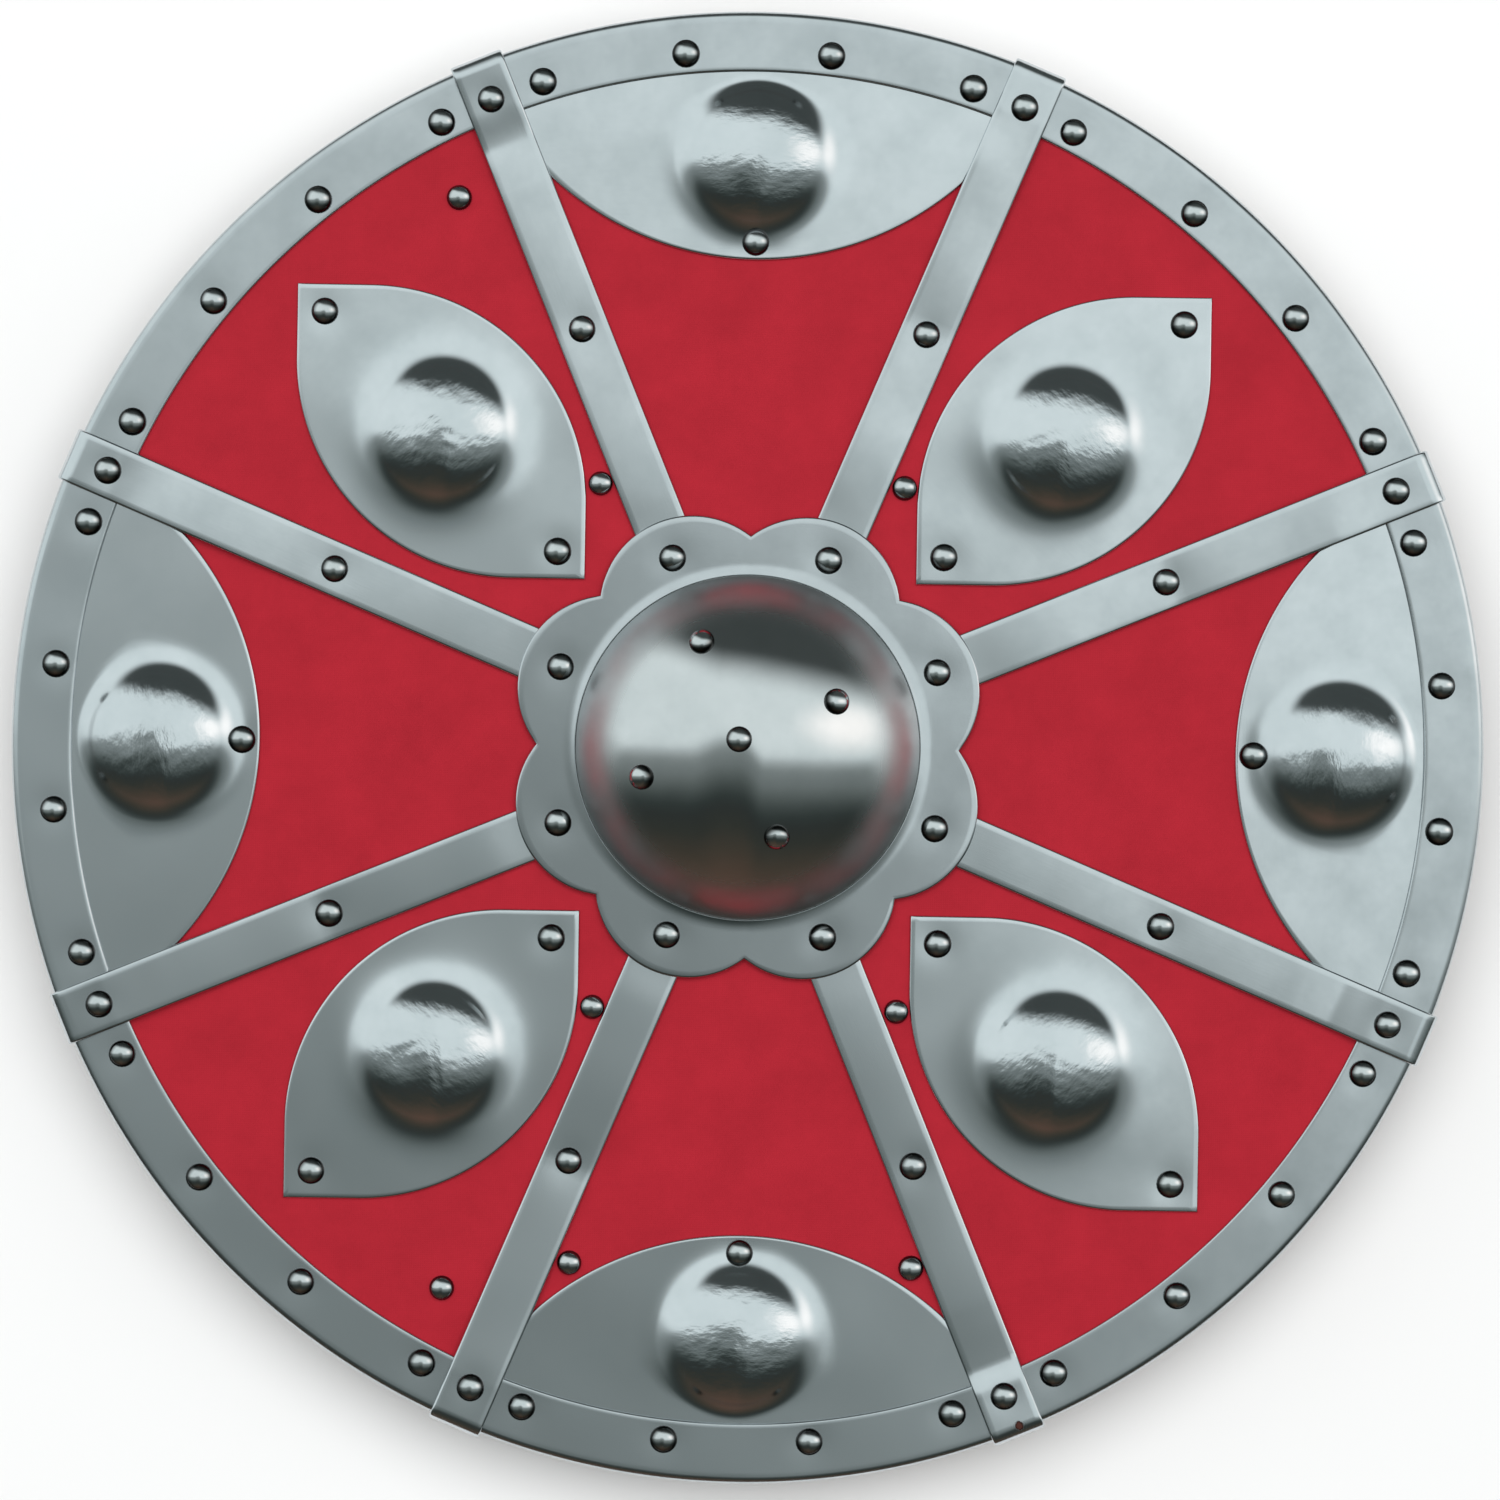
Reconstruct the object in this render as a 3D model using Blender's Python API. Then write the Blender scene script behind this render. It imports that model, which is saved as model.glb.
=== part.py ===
"""Round shield in eight fields, lying on its back with its face up.

A wooden board with a red painted facing is bound by an eight-part steel rim and crossed
by eight steel straps. Four lens plates and four leaf plates with pressed bosses, a
scalloped centre plate and a domed boss are riveted on. Leather straps for the hand and
arm are on the back, and the shield rests on them.

Metres, +Z up. The shield's upper edge, when it is carried, is at +Y. The origin is on
the surface that the shield lies on, under its middle.
"""

import math

import bmesh
import bpy
from mathutils import Matrix, Vector

# Fit of one piece on another
GAP = 0.0003  # air between two pieces that touch
STRAP_LEAD = 0.002  # how far before a step a strap has already risen to clear it

# Board and facing
SHIELD_RADIUS = 0.305  # to the outer face of the rim
BOARD_THICK = 0.009
FACING_THICK = 0.001

# Rim
FIELDS = 8
RIM_SHEET = 0.0012
RIM_BAND = 0.025  # width on the face, and again on the back
RIM_BEND = 0.003  # outside radius of the two folds
RIM_JOINT = 0.001  # opening between one segment and the next
RIM_RIVET_INSET = 0.0166  # from the outer face to the rivets
RIM_RIVETS = 4  # in one segment
RIM_RIVET_PITCH = math.radians(12.0)

# Steel straps, one over each joint of the rim
STRAP_SHEET = 0.0015
STRAP_WIDTH = 0.0224
STRAP_FOLD = 0.022  # how far an end reaches in over the back
STRAP_RAMP = 0.004  # length of the slope where a strap climbs a step

# Domed boss in the middle
DOME_SHEET = 0.0015
DOME_RADIUS = 0.071  # outside, at the foot
DOME_NECK = 0.0055  # upright part below the cap
DOME_CAP = 0.0415  # rise of the cap
DOME_FLANGE = 0.004  # width of the flange under the centre plate
DOME_RIVET_RING = 0.0426
DOME_RIVET_TURN = math.radians(22.0)  # of the ring of four
DOME_RIVET_SHIFT = Vector((-0.0035, 0.0033))  # of all five, as they were set by eye

# Scalloped centre plate
CENTRE_SHEET = 0.0012
CENTRE_FIT = 0.0004  # between the dome and the hole around it
CENTRE_LAND = 0.0163  # from the hole to the notches
CENTRE_LOBE = 0.0128  # from the notches out to the crown of a lobe
CENTRE_RIVET_INSET = 0.013  # from the hole to the rivets

# Plates with pressed bosses
PLATE_SHEET = 0.0012
BOSS_RADIUS = 0.0295  # of the cap, where the fillet begins
BOSS_CAP = 0.0131  # rise of the cap
BOSS_FILLET = 0.0074  # radius of the hollow curve around the cap

# Lens plates, at the top, bottom, left and right
LENS_DEPTH = 0.078  # from the rim to the middle of a plate's round inner edge
LENS_SIDE_DEPTH = 0.030  # from the rim to where that edge meets the straps
LENS_TUCK = 0.008  # how far a plate reaches under a strap
LENS_RIM_TUCK = 0.016  # and under the rim
LENS_BOSS_CLEAR = 0.0005  # from the fillet to the rim
LENS_RIVET_INSET = 0.0074

# Leaf plates, on the diagonals
LEAF_RIM_CLEAR = 0.012  # from the outer tip to the rim
LEAF_CENTRE_CLEAR = 0.0092  # from the inner tip to the centre plate
LEAF_STRAP_CLEAR = 0.0072  # from the round sides to the straps
LEAF_RIVET_INSET = 0.0115  # from both straight edges at a tip

# Rivets
HEAD_RADIUS = 0.0052
HEAD_RISE = 0.0042
SHANK_RADIUS = 0.0025
ROVE_RADIUS = 0.0065  # of the washer that a rivet is closed over
ROVE_THICK = 0.0012
FIELD_RIVET_CLEAR = 0.0003  # from a head in a red field to the steel beside it
LENS_RIVET_CLEAR = 0.0024  # from such a head to the lens plate below it

# Leather straps on the back
ARM_CLEAR = 0.030  # clear height of the loops
ARM_LEATHER = 0.0035
ARM_WIDTH = 0.032
ARM_TAB = 0.012  # from a rivet to the end of the flat tab, both ways
ARM_RUN = 0.016  # length over which a loop leaves the board
CARRY_RIM_CLEAR = 0.016  # from the rim to the roves for a carrying strap that isn't fitted
CARRY_STRAP_CLEAR = 0.0112  # from their rivets to the steel strap next to them

# Facets
RIM_STEPS = 6  # in one rim segment
DOME_SIDES = 24
DOME_RINGS = 4
BOSS_SIDES = 16
ROUND_SIDES = 7  # of rivets and their holes
LOBE_STEPS = 5
PLATE_ARC_STEPS = 6
ARM_STEPS = 4

# Levels, from the surface below up to the top of each layer
BOARD_BACK = ARM_LEATHER + ARM_CLEAR
BOARD_FACE = BOARD_BACK + BOARD_THICK
FACING_TOP = BOARD_FACE + GAP + FACING_THICK
PLATE_TOP = FACING_TOP + GAP + PLATE_SHEET
LOW_RIM_TOP = FACING_TOP + GAP + RIM_SHEET
HIGH_RIM_TOP = PLATE_TOP + GAP + RIM_SHEET
RIM_BACK = BOARD_BACK - GAP - RIM_SHEET
STRAP_TOP = FACING_TOP + GAP + STRAP_SHEET
DOME_FOOT = FACING_TOP + GAP
CENTRE_BASE = max(STRAP_TOP, DOME_FOOT + DOME_SHEET) + GAP
CENTRE_TOP = CENTRE_BASE + CENTRE_SHEET

# Radii that follow
RIM_INNER = SHIELD_RADIUS - RIM_BAND
BOARD_RADIUS = SHIELD_RADIUS - RIM_BEND - GAP
RIM_RIVET_RADIUS = SHIELD_RADIUS - RIM_RIVET_INSET
CENTRE_HOLE = DOME_RADIUS + CENTRE_FIT
NOTCH_RADIUS = CENTRE_HOLE + CENTRE_LAND
LOBE_CROWN = NOTCH_RADIUS + CENTRE_LOBE
CENTRE_RIVET_RADIUS = CENTRE_HOLE + CENTRE_RIVET_INSET
STRAP_INNER = DOME_RADIUS + DOME_FLANGE + 2 * GAP
STRAP_RIVET_RADIUS = (CENTRE_RIVET_RADIUS + RIM_RIVET_RADIUS) / 2
LENS_INNER = RIM_INNER - LENS_DEPTH
LEAF_INNER_TIP = NOTCH_RADIUS + LEAF_CENTRE_CLEAR
LEAF_OUTER_TIP = RIM_INNER - LEAF_RIM_CLEAR
HALF_FIELD = math.pi / FIELDS


def clear_scene():
    for obj in list(bpy.data.objects):
        bpy.data.objects.remove(obj, do_unlink=True)


def make_material(name, color, metallic, roughness):
    material = bpy.data.materials.new(name)
    material.use_nodes = True
    shader = material.node_tree.nodes["Principled BSDF"]
    shader.inputs["Base Color"].default_value = (*color, 1.0)
    shader.inputs["Metallic"].default_value = metallic
    shader.inputs["Roughness"].default_value = roughness
    return material


def add_object(name, mesh, material=None, turn=0.0, place=(0.0, 0.0, 0.0)):
    """An object of this mesh, turned about the upright axis and put in its place."""
    obj = bpy.data.objects.new(name, mesh)
    obj.rotation_euler.z = turn
    obj.location = place
    bpy.context.scene.collection.objects.link(obj)
    if material and not mesh.materials:
        mesh.materials.append(material)
    return obj


def finished(name, bm):
    """The mesh held in bm, facing out and smooth between its sharp edges."""
    bmesh.ops.recalc_face_normals(bm, faces=bm.faces)
    mesh = bpy.data.meshes.new(name)
    bm.to_mesh(mesh)
    bm.free()
    smooth(mesh)
    return mesh


def smooth(mesh):
    mesh.shade_smooth()
    mesh.set_sharp_from_angle(angle=math.radians(38.0))


def prism(name, outline, low, high):
    """A flat outline in plan, extruded from one level up to another."""
    bm = bmesh.new()
    base = bm.faces.new([bm.verts.new((x, y, low)) for x, y in outline])
    grown = bmesh.ops.extrude_face_region(bm, geom=[base], use_keep_orig=True)
    raised = [item for item in grown["geom"] if isinstance(item, bmesh.types.BMVert)]
    bmesh.ops.translate(bm, verts=raised, vec=(0.0, 0.0, high - low))
    return finished(name, bm)


def side_prism(name, profile, width):
    """A side view of x and z, extruded to both sides of the XZ plane."""
    bm = bmesh.new()
    base = bm.faces.new([bm.verts.new((x, -width / 2, z)) for x, z in profile])
    grown = bmesh.ops.extrude_face_region(bm, geom=[base], use_keep_orig=True)
    moved = [item for item in grown["geom"] if isinstance(item, bmesh.types.BMVert)]
    bmesh.ops.translate(bm, verts=moved, vec=(0.0, width, 0.0))
    return finished(name, bm)


def turned(name, profile, sides):
    """A profile of radius and height, from the axis round to the axis, spun about Z."""
    bm = bmesh.new()
    points = [bm.verts.new((radius, 0.0, height)) for radius, height in profile]
    edges = [bm.edges.new(pair) for pair in zip(points, points[1:])]
    bmesh.ops.spin(
        bm,
        geom=points + edges,
        cent=(0.0, 0.0, 0.0),
        axis=(0.0, 0.0, 1.0),
        dvec=(0.0, 0.0, 0.0),
        angle=2 * math.pi,
        steps=sides,
        use_duplicate=False,
    )
    bmesh.ops.remove_doubles(bm, verts=bm.verts, dist=1e-6)
    return finished(name, bm)


def swept(name, profile, start, angle, steps):
    """A closed profile of radius and height, carried round Z through part of a turn."""
    bm = bmesh.new()
    points = [bm.verts.new((radius, 0.0, height)) for radius, height in profile]
    edges = [bm.edges.new(pair) for pair in zip(points, points[1:] + points[:1])]
    bmesh.ops.rotate(bm, verts=points, cent=(0.0, 0.0, 0.0), matrix=Matrix.Rotation(start, 3, "Z"))
    bmesh.ops.spin(
        bm,
        geom=points + edges,
        cent=(0.0, 0.0, 0.0),
        axis=(0.0, 0.0, 1.0),
        dvec=(0.0, 0.0, 0.0),
        angle=angle,
        steps=steps,
        use_duplicate=False,
    )
    ends = [edge for edge in bm.edges if edge.is_boundary]
    bmesh.ops.edgeloop_fill(bm, edges=ends)
    return finished(name, bm)


def cut_and_joined(name, body, steps):
    """The body's mesh after each (operation, other mesh) step, as a mesh of its own."""
    obj = add_object(name, body)
    helpers = []
    for operation, other in steps:
        helper = add_object(f"{name}.{len(helpers)}", other)
        helper.hide_render = True
        helper.display_type = "WIRE"
        boolean = obj.modifiers.new(operation.title(), "BOOLEAN")
        boolean.operation = operation
        boolean.solver = "EXACT"
        boolean.object = helper
        helpers.append(helper)
    graph = bpy.context.evaluated_depsgraph_get()
    mesh = bpy.data.meshes.new_from_object(obj.evaluated_get(graph))
    mesh.name = name
    mesh.materials.clear()
    smooth(mesh)
    for used in [obj, *helpers]:
        bpy.data.objects.remove(used, do_unlink=True)
    return mesh


def gathered(name, parts):
    """One mesh that holds a copy of each mesh, moved by its matrix."""
    bm = bmesh.new()
    for mesh, matrix in parts:
        copy = bmesh.new()
        copy.from_mesh(mesh)
        bmesh.ops.transform(copy, matrix=matrix, verts=copy.verts)
        spare = bpy.data.meshes.new(name)
        copy.to_mesh(spare)
        copy.free()
        bm.from_mesh(spare)
        bpy.data.meshes.remove(spare)
    return finished(name, bm)


def arc(centre, radius, start, end, steps):
    """Points on a circle from one angle to another, with both ends."""
    angles = [start + (end - start) * k / steps for k in range(steps + 1)]
    return [(centre[0] + radius * math.cos(a), centre[1] + radius * math.sin(a)) for a in angles]


def circle(radius, sides):
    return arc((0.0, 0.0), radius, 0.0, 2 * math.pi, sides)[:-1]


def clipped(outline, normal, limit):
    """The part of a convex outline where the distance along normal is at most limit."""
    kept = []
    for a, b in zip(outline, outline[1:] + outline[:1]):
        over_a = a[0] * normal[0] + a[1] * normal[1] - limit
        over_b = b[0] * normal[0] + b[1] * normal[1] - limit
        if over_a <= 0:
            kept.append(a)
        if (over_a < 0 < over_b) or (over_b < 0 < over_a):
            share = over_a / (over_a - over_b)
            kept.append((a[0] + share * (b[0] - a[0]), a[1] + share * (b[1] - a[1])))
    return kept


def at(x, y, z):
    return Matrix.Translation(Vector((x, y, z)))


def rivet_head(sink):
    """A low round head whose foot is sunk into what it fastens."""
    profile = [(0.0, -sink), (HEAD_RADIUS, -sink), (0.78 * HEAD_RADIUS, 0.66 * HEAD_RISE), (0.0, HEAD_RISE)]
    return turned("rivet_head", profile, ROUND_SIDES)


def heads(places):
    """Rivet heads in one mesh, each standing on the level that its place gives."""
    head = rivet_head(min(RIM_SHEET, PLATE_SHEET, CENTRE_SHEET, STRAP_SHEET) / 2)
    return gathered("heads", [(head, at(*place)) for place in places])


def shanks(places, low, high):
    """Cutters for rivet holes, in one mesh."""
    cutter = prism("shank_hole", circle(SHANK_RADIUS + GAP, ROUND_SIDES), low, high)
    return gathered("shanks", [(cutter, at(x, y, 0.0)) for x, y in places])


def beside_leaf():
    """The place at the upper right where a head fills the gap from a leaf plate to a strap."""
    reach = STRAP_WIDTH / 2 + HEAD_RADIUS + FIELD_RIVET_CLEAR
    x = LEAF_INNER_TIP / math.sqrt(2) - HEAD_RADIUS - FIELD_RIVET_CLEAR
    y = (x - reach / math.cos(HALF_FIELD)) / math.tan(HALF_FIELD)
    return x, y


def lens_circle():
    """The circle of a lens plate's inner edge: how far out its centre is, and its radius.

    It passes through the edge's middle and through a point on the near edge of a strap.
    """
    aside = STRAP_WIDTH / 2
    meeting = RIM_INNER - LENS_SIDE_DEPTH
    along = math.sqrt(meeting**2 - aside**2)
    out = along * math.cos(HALF_FIELD) + aside * math.sin(HALF_FIELD)
    hub = (meeting**2 - LENS_INNER**2) / (2 * (out - LENS_INNER))
    return hub, hub - LENS_INNER


def above_lens():
    """The place below the middle where a head clears both the strap and the lens plate."""
    hub, radius = lens_circle()
    reach = STRAP_WIDTH / 2 + HEAD_RADIUS + FIELD_RIVET_CLEAR
    clear = radius + HEAD_RADIUS + LENS_RIVET_CLEAR
    along = hub * math.cos(HALF_FIELD)
    across = hub * math.sin(HALF_FIELD) - reach
    run = along - math.sqrt(clear**2 - across**2)
    x = run * math.sin(HALF_FIELD) - reach * math.cos(HALF_FIELD)
    y = run * math.cos(HALF_FIELD) + reach * math.sin(HALF_FIELD)
    return x, -y


def arm_straps():
    """Each leather strap's name, its rivets' distance from the middle line, and its height."""
    near_x, near_y = beside_leaf()
    far_x, far_y = above_lens()
    return [
        ("grip_strap", near_x, near_y),
        ("forearm_strap", near_x, -near_y),
        ("elbow_strap", far_x, far_y),
    ]


def carry_rivets():
    """The two rivets near the left edge."""
    reach = RIM_INNER - CARRY_RIM_CLEAR - ROVE_RADIUS
    aside = STRAP_WIDTH / 2 + HEAD_RADIUS + CARRY_STRAP_CLEAR
    angle = math.pi / 2 + HALF_FIELD + math.asin(aside / reach)
    x = reach * math.cos(angle)
    y = reach * math.sin(angle)
    return [(x, y), (x, -y)]


def field_rivets():
    """Each rivet in the red fields: its place, and the level that its rove is closed on."""
    under_leather = BOARD_BACK - GAP - ARM_LEATHER - GAP
    places = []
    for _, span, height in arm_straps():
        places += [(-span, height, under_leather), (span, height, under_leather)]
    return places + [(x, y, BOARD_BACK - GAP) for x, y in carry_rivets()]


def build_board(wood, paint):
    places = [(x, y) for x, y, _ in field_rivets()]
    outline = circle(BOARD_RADIUS, FIELDS * RIM_STEPS)
    layers = [
        ("board", BOARD_BACK, BOARD_FACE, wood),
        ("facing", BOARD_FACE + GAP, FACING_TOP, paint),
    ]
    for name, low, high, material in layers:
        slab = prism(name, outline, low, high)
        holes = shanks(places, low - BOARD_THICK, high + BOARD_THICK)
        add_object(name, cut_and_joined(name, slab, [("DIFFERENCE", holes)]), material)


def rim_profile(top):
    """Section through the sheet, folded over the edge of the board onto its back."""
    outer = SHIELD_RADIUS
    bend = outer - RIM_BEND
    inner_bend = RIM_BEND - RIM_SHEET
    quarter = math.pi / 2
    face = arc((bend, top - RIM_BEND), RIM_BEND, quarter, 0.0, 2)
    back = arc((bend, RIM_BACK + RIM_BEND), RIM_BEND, 0.0, -quarter, 2)
    inner_back = arc((bend, RIM_BACK + RIM_BEND), inner_bend, -quarter, 0.0, 1)
    inner_face = arc((bend, top - RIM_BEND), inner_bend, 0.0, quarter, 1)
    return [
        (RIM_INNER, top),
        *face,
        *back,
        (RIM_INNER, RIM_BACK),
        (RIM_INNER, RIM_BACK + RIM_SHEET),
        *inner_back,
        *inner_face,
        (RIM_INNER, top - RIM_SHEET),
    ]


def build_rim(steel):
    """Eight segments; those over the lens plates stand one sheet higher than the others."""
    joint = RIM_JOINT / SHIELD_RADIUS
    span = 2 * HALF_FIELD - joint
    offsets = [(k - (RIM_RIVETS - 1) / 2) * RIM_RIVET_PITCH for k in range(RIM_RIVETS)]
    meshes = []
    for name, top in (("high_rim", HIGH_RIM_TOP), ("low_rim", LOW_RIM_TOP)):
        band = swept(name, rim_profile(top), -span / 2, span, RIM_STEPS)
        places = [(RIM_RIVET_RADIUS * math.cos(a), RIM_RIVET_RADIUS * math.sin(a), top) for a in offsets]
        meshes.append(cut_and_joined(name, band, [("UNION", heads(places))]))
    for k in range(FIELDS):
        add_object(f"rim_segment_{k + 1}", meshes[k % 2], steel, turn=2 * HALF_FIELD * k)


def lens_outline():
    """Plan of the lens plate on +X: a circle cut off under the straps and under the rim."""
    hub, radius = lens_circle()
    outline = [(x + hub, y) for x, y in circle(radius, 6 * PLATE_ARC_STEPS)]
    strap_cut = LENS_TUCK - STRAP_WIDTH / 2
    for side in (1, -1):
        outline = clipped(outline, (-math.sin(HALF_FIELD), side * math.cos(HALF_FIELD)), strap_cut)
    rim_cut = RIM_INNER + LENS_RIM_TUCK
    step = 2 * HALF_FIELD / RIM_STEPS
    for k in range(-RIM_STEPS // 2, RIM_STEPS // 2):
        middle = (k + 0.5) * step
        outline = clipped(outline, (math.cos(middle), math.sin(middle)), rim_cut)
    return outline


def lens_reach_under_strap():
    """Distance along a strap at which the lens plate first comes under it."""
    lean = (math.cos(HALF_FIELD), math.sin(HALF_FIELD))
    covered = clipped(lens_outline(), (math.sin(HALF_FIELD), -math.cos(HALF_FIELD)), STRAP_WIDTH / 2)
    return min(x * lean[0] + y * lean[1] for x, y in covered)


def boss_profile(depth, cap_steps, fillet_steps):
    """Radius and height of a pressed boss, depth below the plate's outer skin.

    A spherical cap runs into a hollow fillet that lies flat on the plate at its foot.
    """
    slope = 2 * math.atan2(BOSS_CAP, BOSS_RADIUS)
    sphere = BOSS_RADIUS / math.sin(slope)
    rise = BOSS_FILLET * (1 - math.cos(slope))
    fillet_centre = (BOSS_RADIUS + BOSS_FILLET * math.sin(slope), BOSS_FILLET)
    down = -math.pi / 2
    fillet = arc(fillet_centre, BOSS_FILLET + depth, down, down - slope, fillet_steps)
    cap_centre = (0.0, rise - sphere * math.cos(slope))
    cap = arc(cap_centre, sphere - depth, math.pi / 2 - slope, math.pi / 2, cap_steps)
    return fillet + cap[1:-1] + [(0.0, cap[-1][1])]


def boss_foot():
    """Radius at which the fillet runs out on the plate."""
    slope = 2 * math.atan2(BOSS_CAP, BOSS_RADIUS)
    return BOSS_RADIUS + BOSS_FILLET * math.sin(slope)


def bossed_plate(name, outline, boss_x, rivets):
    """A sheet of this outline with a hollow boss pressed up from it, and its rivets."""
    base = FACING_TOP + GAP
    sheet = prism(name, outline, base, PLATE_TOP)
    outer = boss_profile(0.0, 3, 2)
    inner = boss_profile(PLATE_SHEET, 2, 1)
    half = PLATE_SHEET / 2
    raised = turned("boss", [(0.0, -half), (outer[0][0], -half), *outer], BOSS_SIDES)
    hollow = turned("hollow", [(0.0, -2 * PLATE_SHEET), (inner[0][0], -2 * PLATE_SHEET), *inner], BOSS_SIDES)
    place = at(boss_x, 0.0, PLATE_TOP)
    return cut_and_joined(
        name,
        sheet,
        [
            ("UNION", gathered("boss", [(raised, place)])),
            ("DIFFERENCE", gathered("hollow", [(hollow, place)])),
            ("UNION", heads([(x, y, PLATE_TOP) for x, y in rivets])),
        ],
    )


def build_lens_plates(steel):
    boss_x = RIM_INNER - LENS_BOSS_CLEAR - boss_foot()
    rivets = [(LENS_INNER + LENS_RIVET_INSET, 0.0)]
    mesh = bossed_plate("lens_plate", lens_outline(), boss_x, rivets)
    for k, side in enumerate(("right", "top", "left", "bottom")):
        add_object(f"lens_plate_{side}", mesh, steel, turn=math.pi / 2 * k)


def leaf_outline():
    """Plan of a leaf plate along +X: a square on its corner with its side corners rounded."""
    half = (LEAF_OUTER_TIP - LEAF_INNER_TIP) / 2
    middle = LEAF_INNER_TIP + half
    lean = HALF_FIELD
    need = STRAP_WIDTH / 2 + LEAF_STRAP_CLEAR - middle * math.sin(lean) + half * math.cos(lean)
    rounding = need / (math.sqrt(2) * math.cos(lean) - 1)
    quarter = math.pi / 2
    centre = half - rounding * math.sqrt(2)
    upper = arc((middle, centre), rounding, quarter / 2, 3 * quarter / 2, PLATE_ARC_STEPS)
    lower = [(x, -y) for x, y in reversed(upper)]
    return [(LEAF_OUTER_TIP, 0.0), *upper, (LEAF_INNER_TIP, 0.0), *lower]


def build_leaf_plates(steel):
    inset = LEAF_RIVET_INSET * math.sqrt(2)
    rivets = [(LEAF_OUTER_TIP - inset, 0.0), (LEAF_INNER_TIP + inset, 0.0)]
    middle = (LEAF_OUTER_TIP + LEAF_INNER_TIP) / 2
    mesh = bossed_plate("leaf_plate", leaf_outline(), middle, rivets)
    for k, side in enumerate(("upper_right", "upper_left", "lower_left", "lower_right")):
        add_object(f"leaf_plate_{side}", mesh, steel, turn=2 * HALF_FIELD * (2 * k + 1))


def strap_profile():
    """Side view along the strap: over the plates and the rim, then folded onto the back."""
    bend = SHIELD_RADIUS - RIM_BEND
    plate_step = lens_reach_under_strap() - STRAP_LEAD
    rim_step = RIM_INNER - STRAP_LEAD
    levels = (FACING_TOP + GAP, PLATE_TOP + GAP, HIGH_RIM_TOP + GAP)
    run = [
        (STRAP_INNER, levels[0]),
        (plate_step - STRAP_RAMP, levels[0]),
        (plate_step, levels[1]),
        (rim_step - STRAP_RAMP, levels[1]),
        (rim_step, levels[2]),
    ]
    radius = RIM_BEND + GAP
    quarter = math.pi / 2
    end = SHIELD_RADIUS - STRAP_FOLD
    inside = list(run)
    outside = [(x, z + STRAP_SHEET) for x, z in run]
    for path, reach in ((inside, radius), (outside, radius + STRAP_SHEET)):
        path += arc((bend, HIGH_RIM_TOP - RIM_BEND), reach, quarter, 0.0, 2)
        path += arc((bend, RIM_BACK + RIM_BEND), reach, 0.0, -quarter, 2)
        path.append((end, RIM_BACK + RIM_BEND - reach))
    return outside + inside[::-1]


def build_steel_straps(steel):
    bar = side_prism("steel_strap", strap_profile(), STRAP_WIDTH)
    over_rim = HIGH_RIM_TOP + GAP + STRAP_SHEET
    rivets = heads([(STRAP_RIVET_RADIUS, 0.0, STRAP_TOP), (RIM_RIVET_RADIUS, 0.0, over_rim)])
    mesh = cut_and_joined("steel_strap", bar, [("UNION", rivets)])
    for k in range(FIELDS):
        add_object(f"steel_strap_{k + 1}", mesh, steel, turn=HALF_FIELD * (2 * k + 1))


def build_centre_plate(steel):
    """Eight round lobes, one on each strap, about a hole for the dome."""
    lean = math.cos(HALF_FIELD)
    centre = (LOBE_CROWN**2 - NOTCH_RADIUS**2) / (2 * (LOBE_CROWN - NOTCH_RADIUS * lean))
    radius = LOBE_CROWN - centre
    notch = math.atan2(NOTCH_RADIUS * math.sin(HALF_FIELD), NOTCH_RADIUS * lean - centre)
    outline = []
    for k in range(FIELDS):
        turn = HALF_FIELD * (2 * k + 1)
        hub = (centre * math.cos(turn), centre * math.sin(turn))
        outline += arc(hub, radius, turn - notch, turn + notch, LOBE_STEPS)[:-1]
    turns = [HALF_FIELD * (2 * k + 1) for k in range(FIELDS)]
    rivets = [
        (CENTRE_RIVET_RADIUS * math.cos(a), CENTRE_RIVET_RADIUS * math.sin(a), CENTRE_TOP)
        for a in turns
    ]
    sheet = prism("centre_plate", outline, CENTRE_BASE, CENTRE_TOP)
    hole = prism(
        "centre_hole", circle(CENTRE_HOLE, DOME_SIDES), CENTRE_BASE - CENTRE_SHEET, CENTRE_TOP + CENTRE_SHEET
    )
    mesh = cut_and_joined("centre_plate", sheet, [("DIFFERENCE", hole), ("UNION", heads(rivets))])
    add_object("centre_plate", mesh, steel)


def dome_sphere():
    """The sphere of the cap: its radius, its centre's level, and the angle from top to edge."""
    slope = 2 * math.atan2(DOME_CAP, DOME_RADIUS)
    radius = DOME_RADIUS / math.sin(slope)
    return radius, DOME_FOOT + DOME_NECK + DOME_CAP - radius, slope


def dome_cap(depth, steps):
    """Radius and level of the cap, depth below its outer skin, from its edge to its top."""
    sphere, level, slope = dome_sphere()
    cap = arc((0.0, level), sphere - depth, math.pi / 2 - slope, math.pi / 2, steps)
    return cap[:-1] + [(0.0, cap[-1][1])]


def dome_heads():
    """Five heads square to the cap, each reaching right through its flat facets."""
    sphere, level, slope = dome_sphere()
    facet = sphere * (1 - math.cos(slope / DOME_RINGS / 2)) + DOME_RADIUS * (1 - math.cos(math.pi / DOME_SIDES))
    head = rivet_head(DOME_SHEET + facet)
    places = [Vector((0.0, 0.0))]
    for k in range(4):
        turn = DOME_RIVET_TURN + k * math.pi / 2
        places.append(DOME_RIVET_RING * Vector((math.cos(turn), math.sin(turn))))
    parts = []
    for place in places:
        flat = place + DOME_RIVET_SHIFT
        out = Vector((flat.x, flat.y, math.sqrt(sphere**2 - flat.length_squared))).normalized()
        tilt = out.to_track_quat("Z", "Y").to_matrix().to_4x4()
        parts.append((head, Matrix.Translation(Vector((0.0, 0.0, level)) + out * sphere) @ tilt))
    return gathered("heads", parts)


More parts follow.
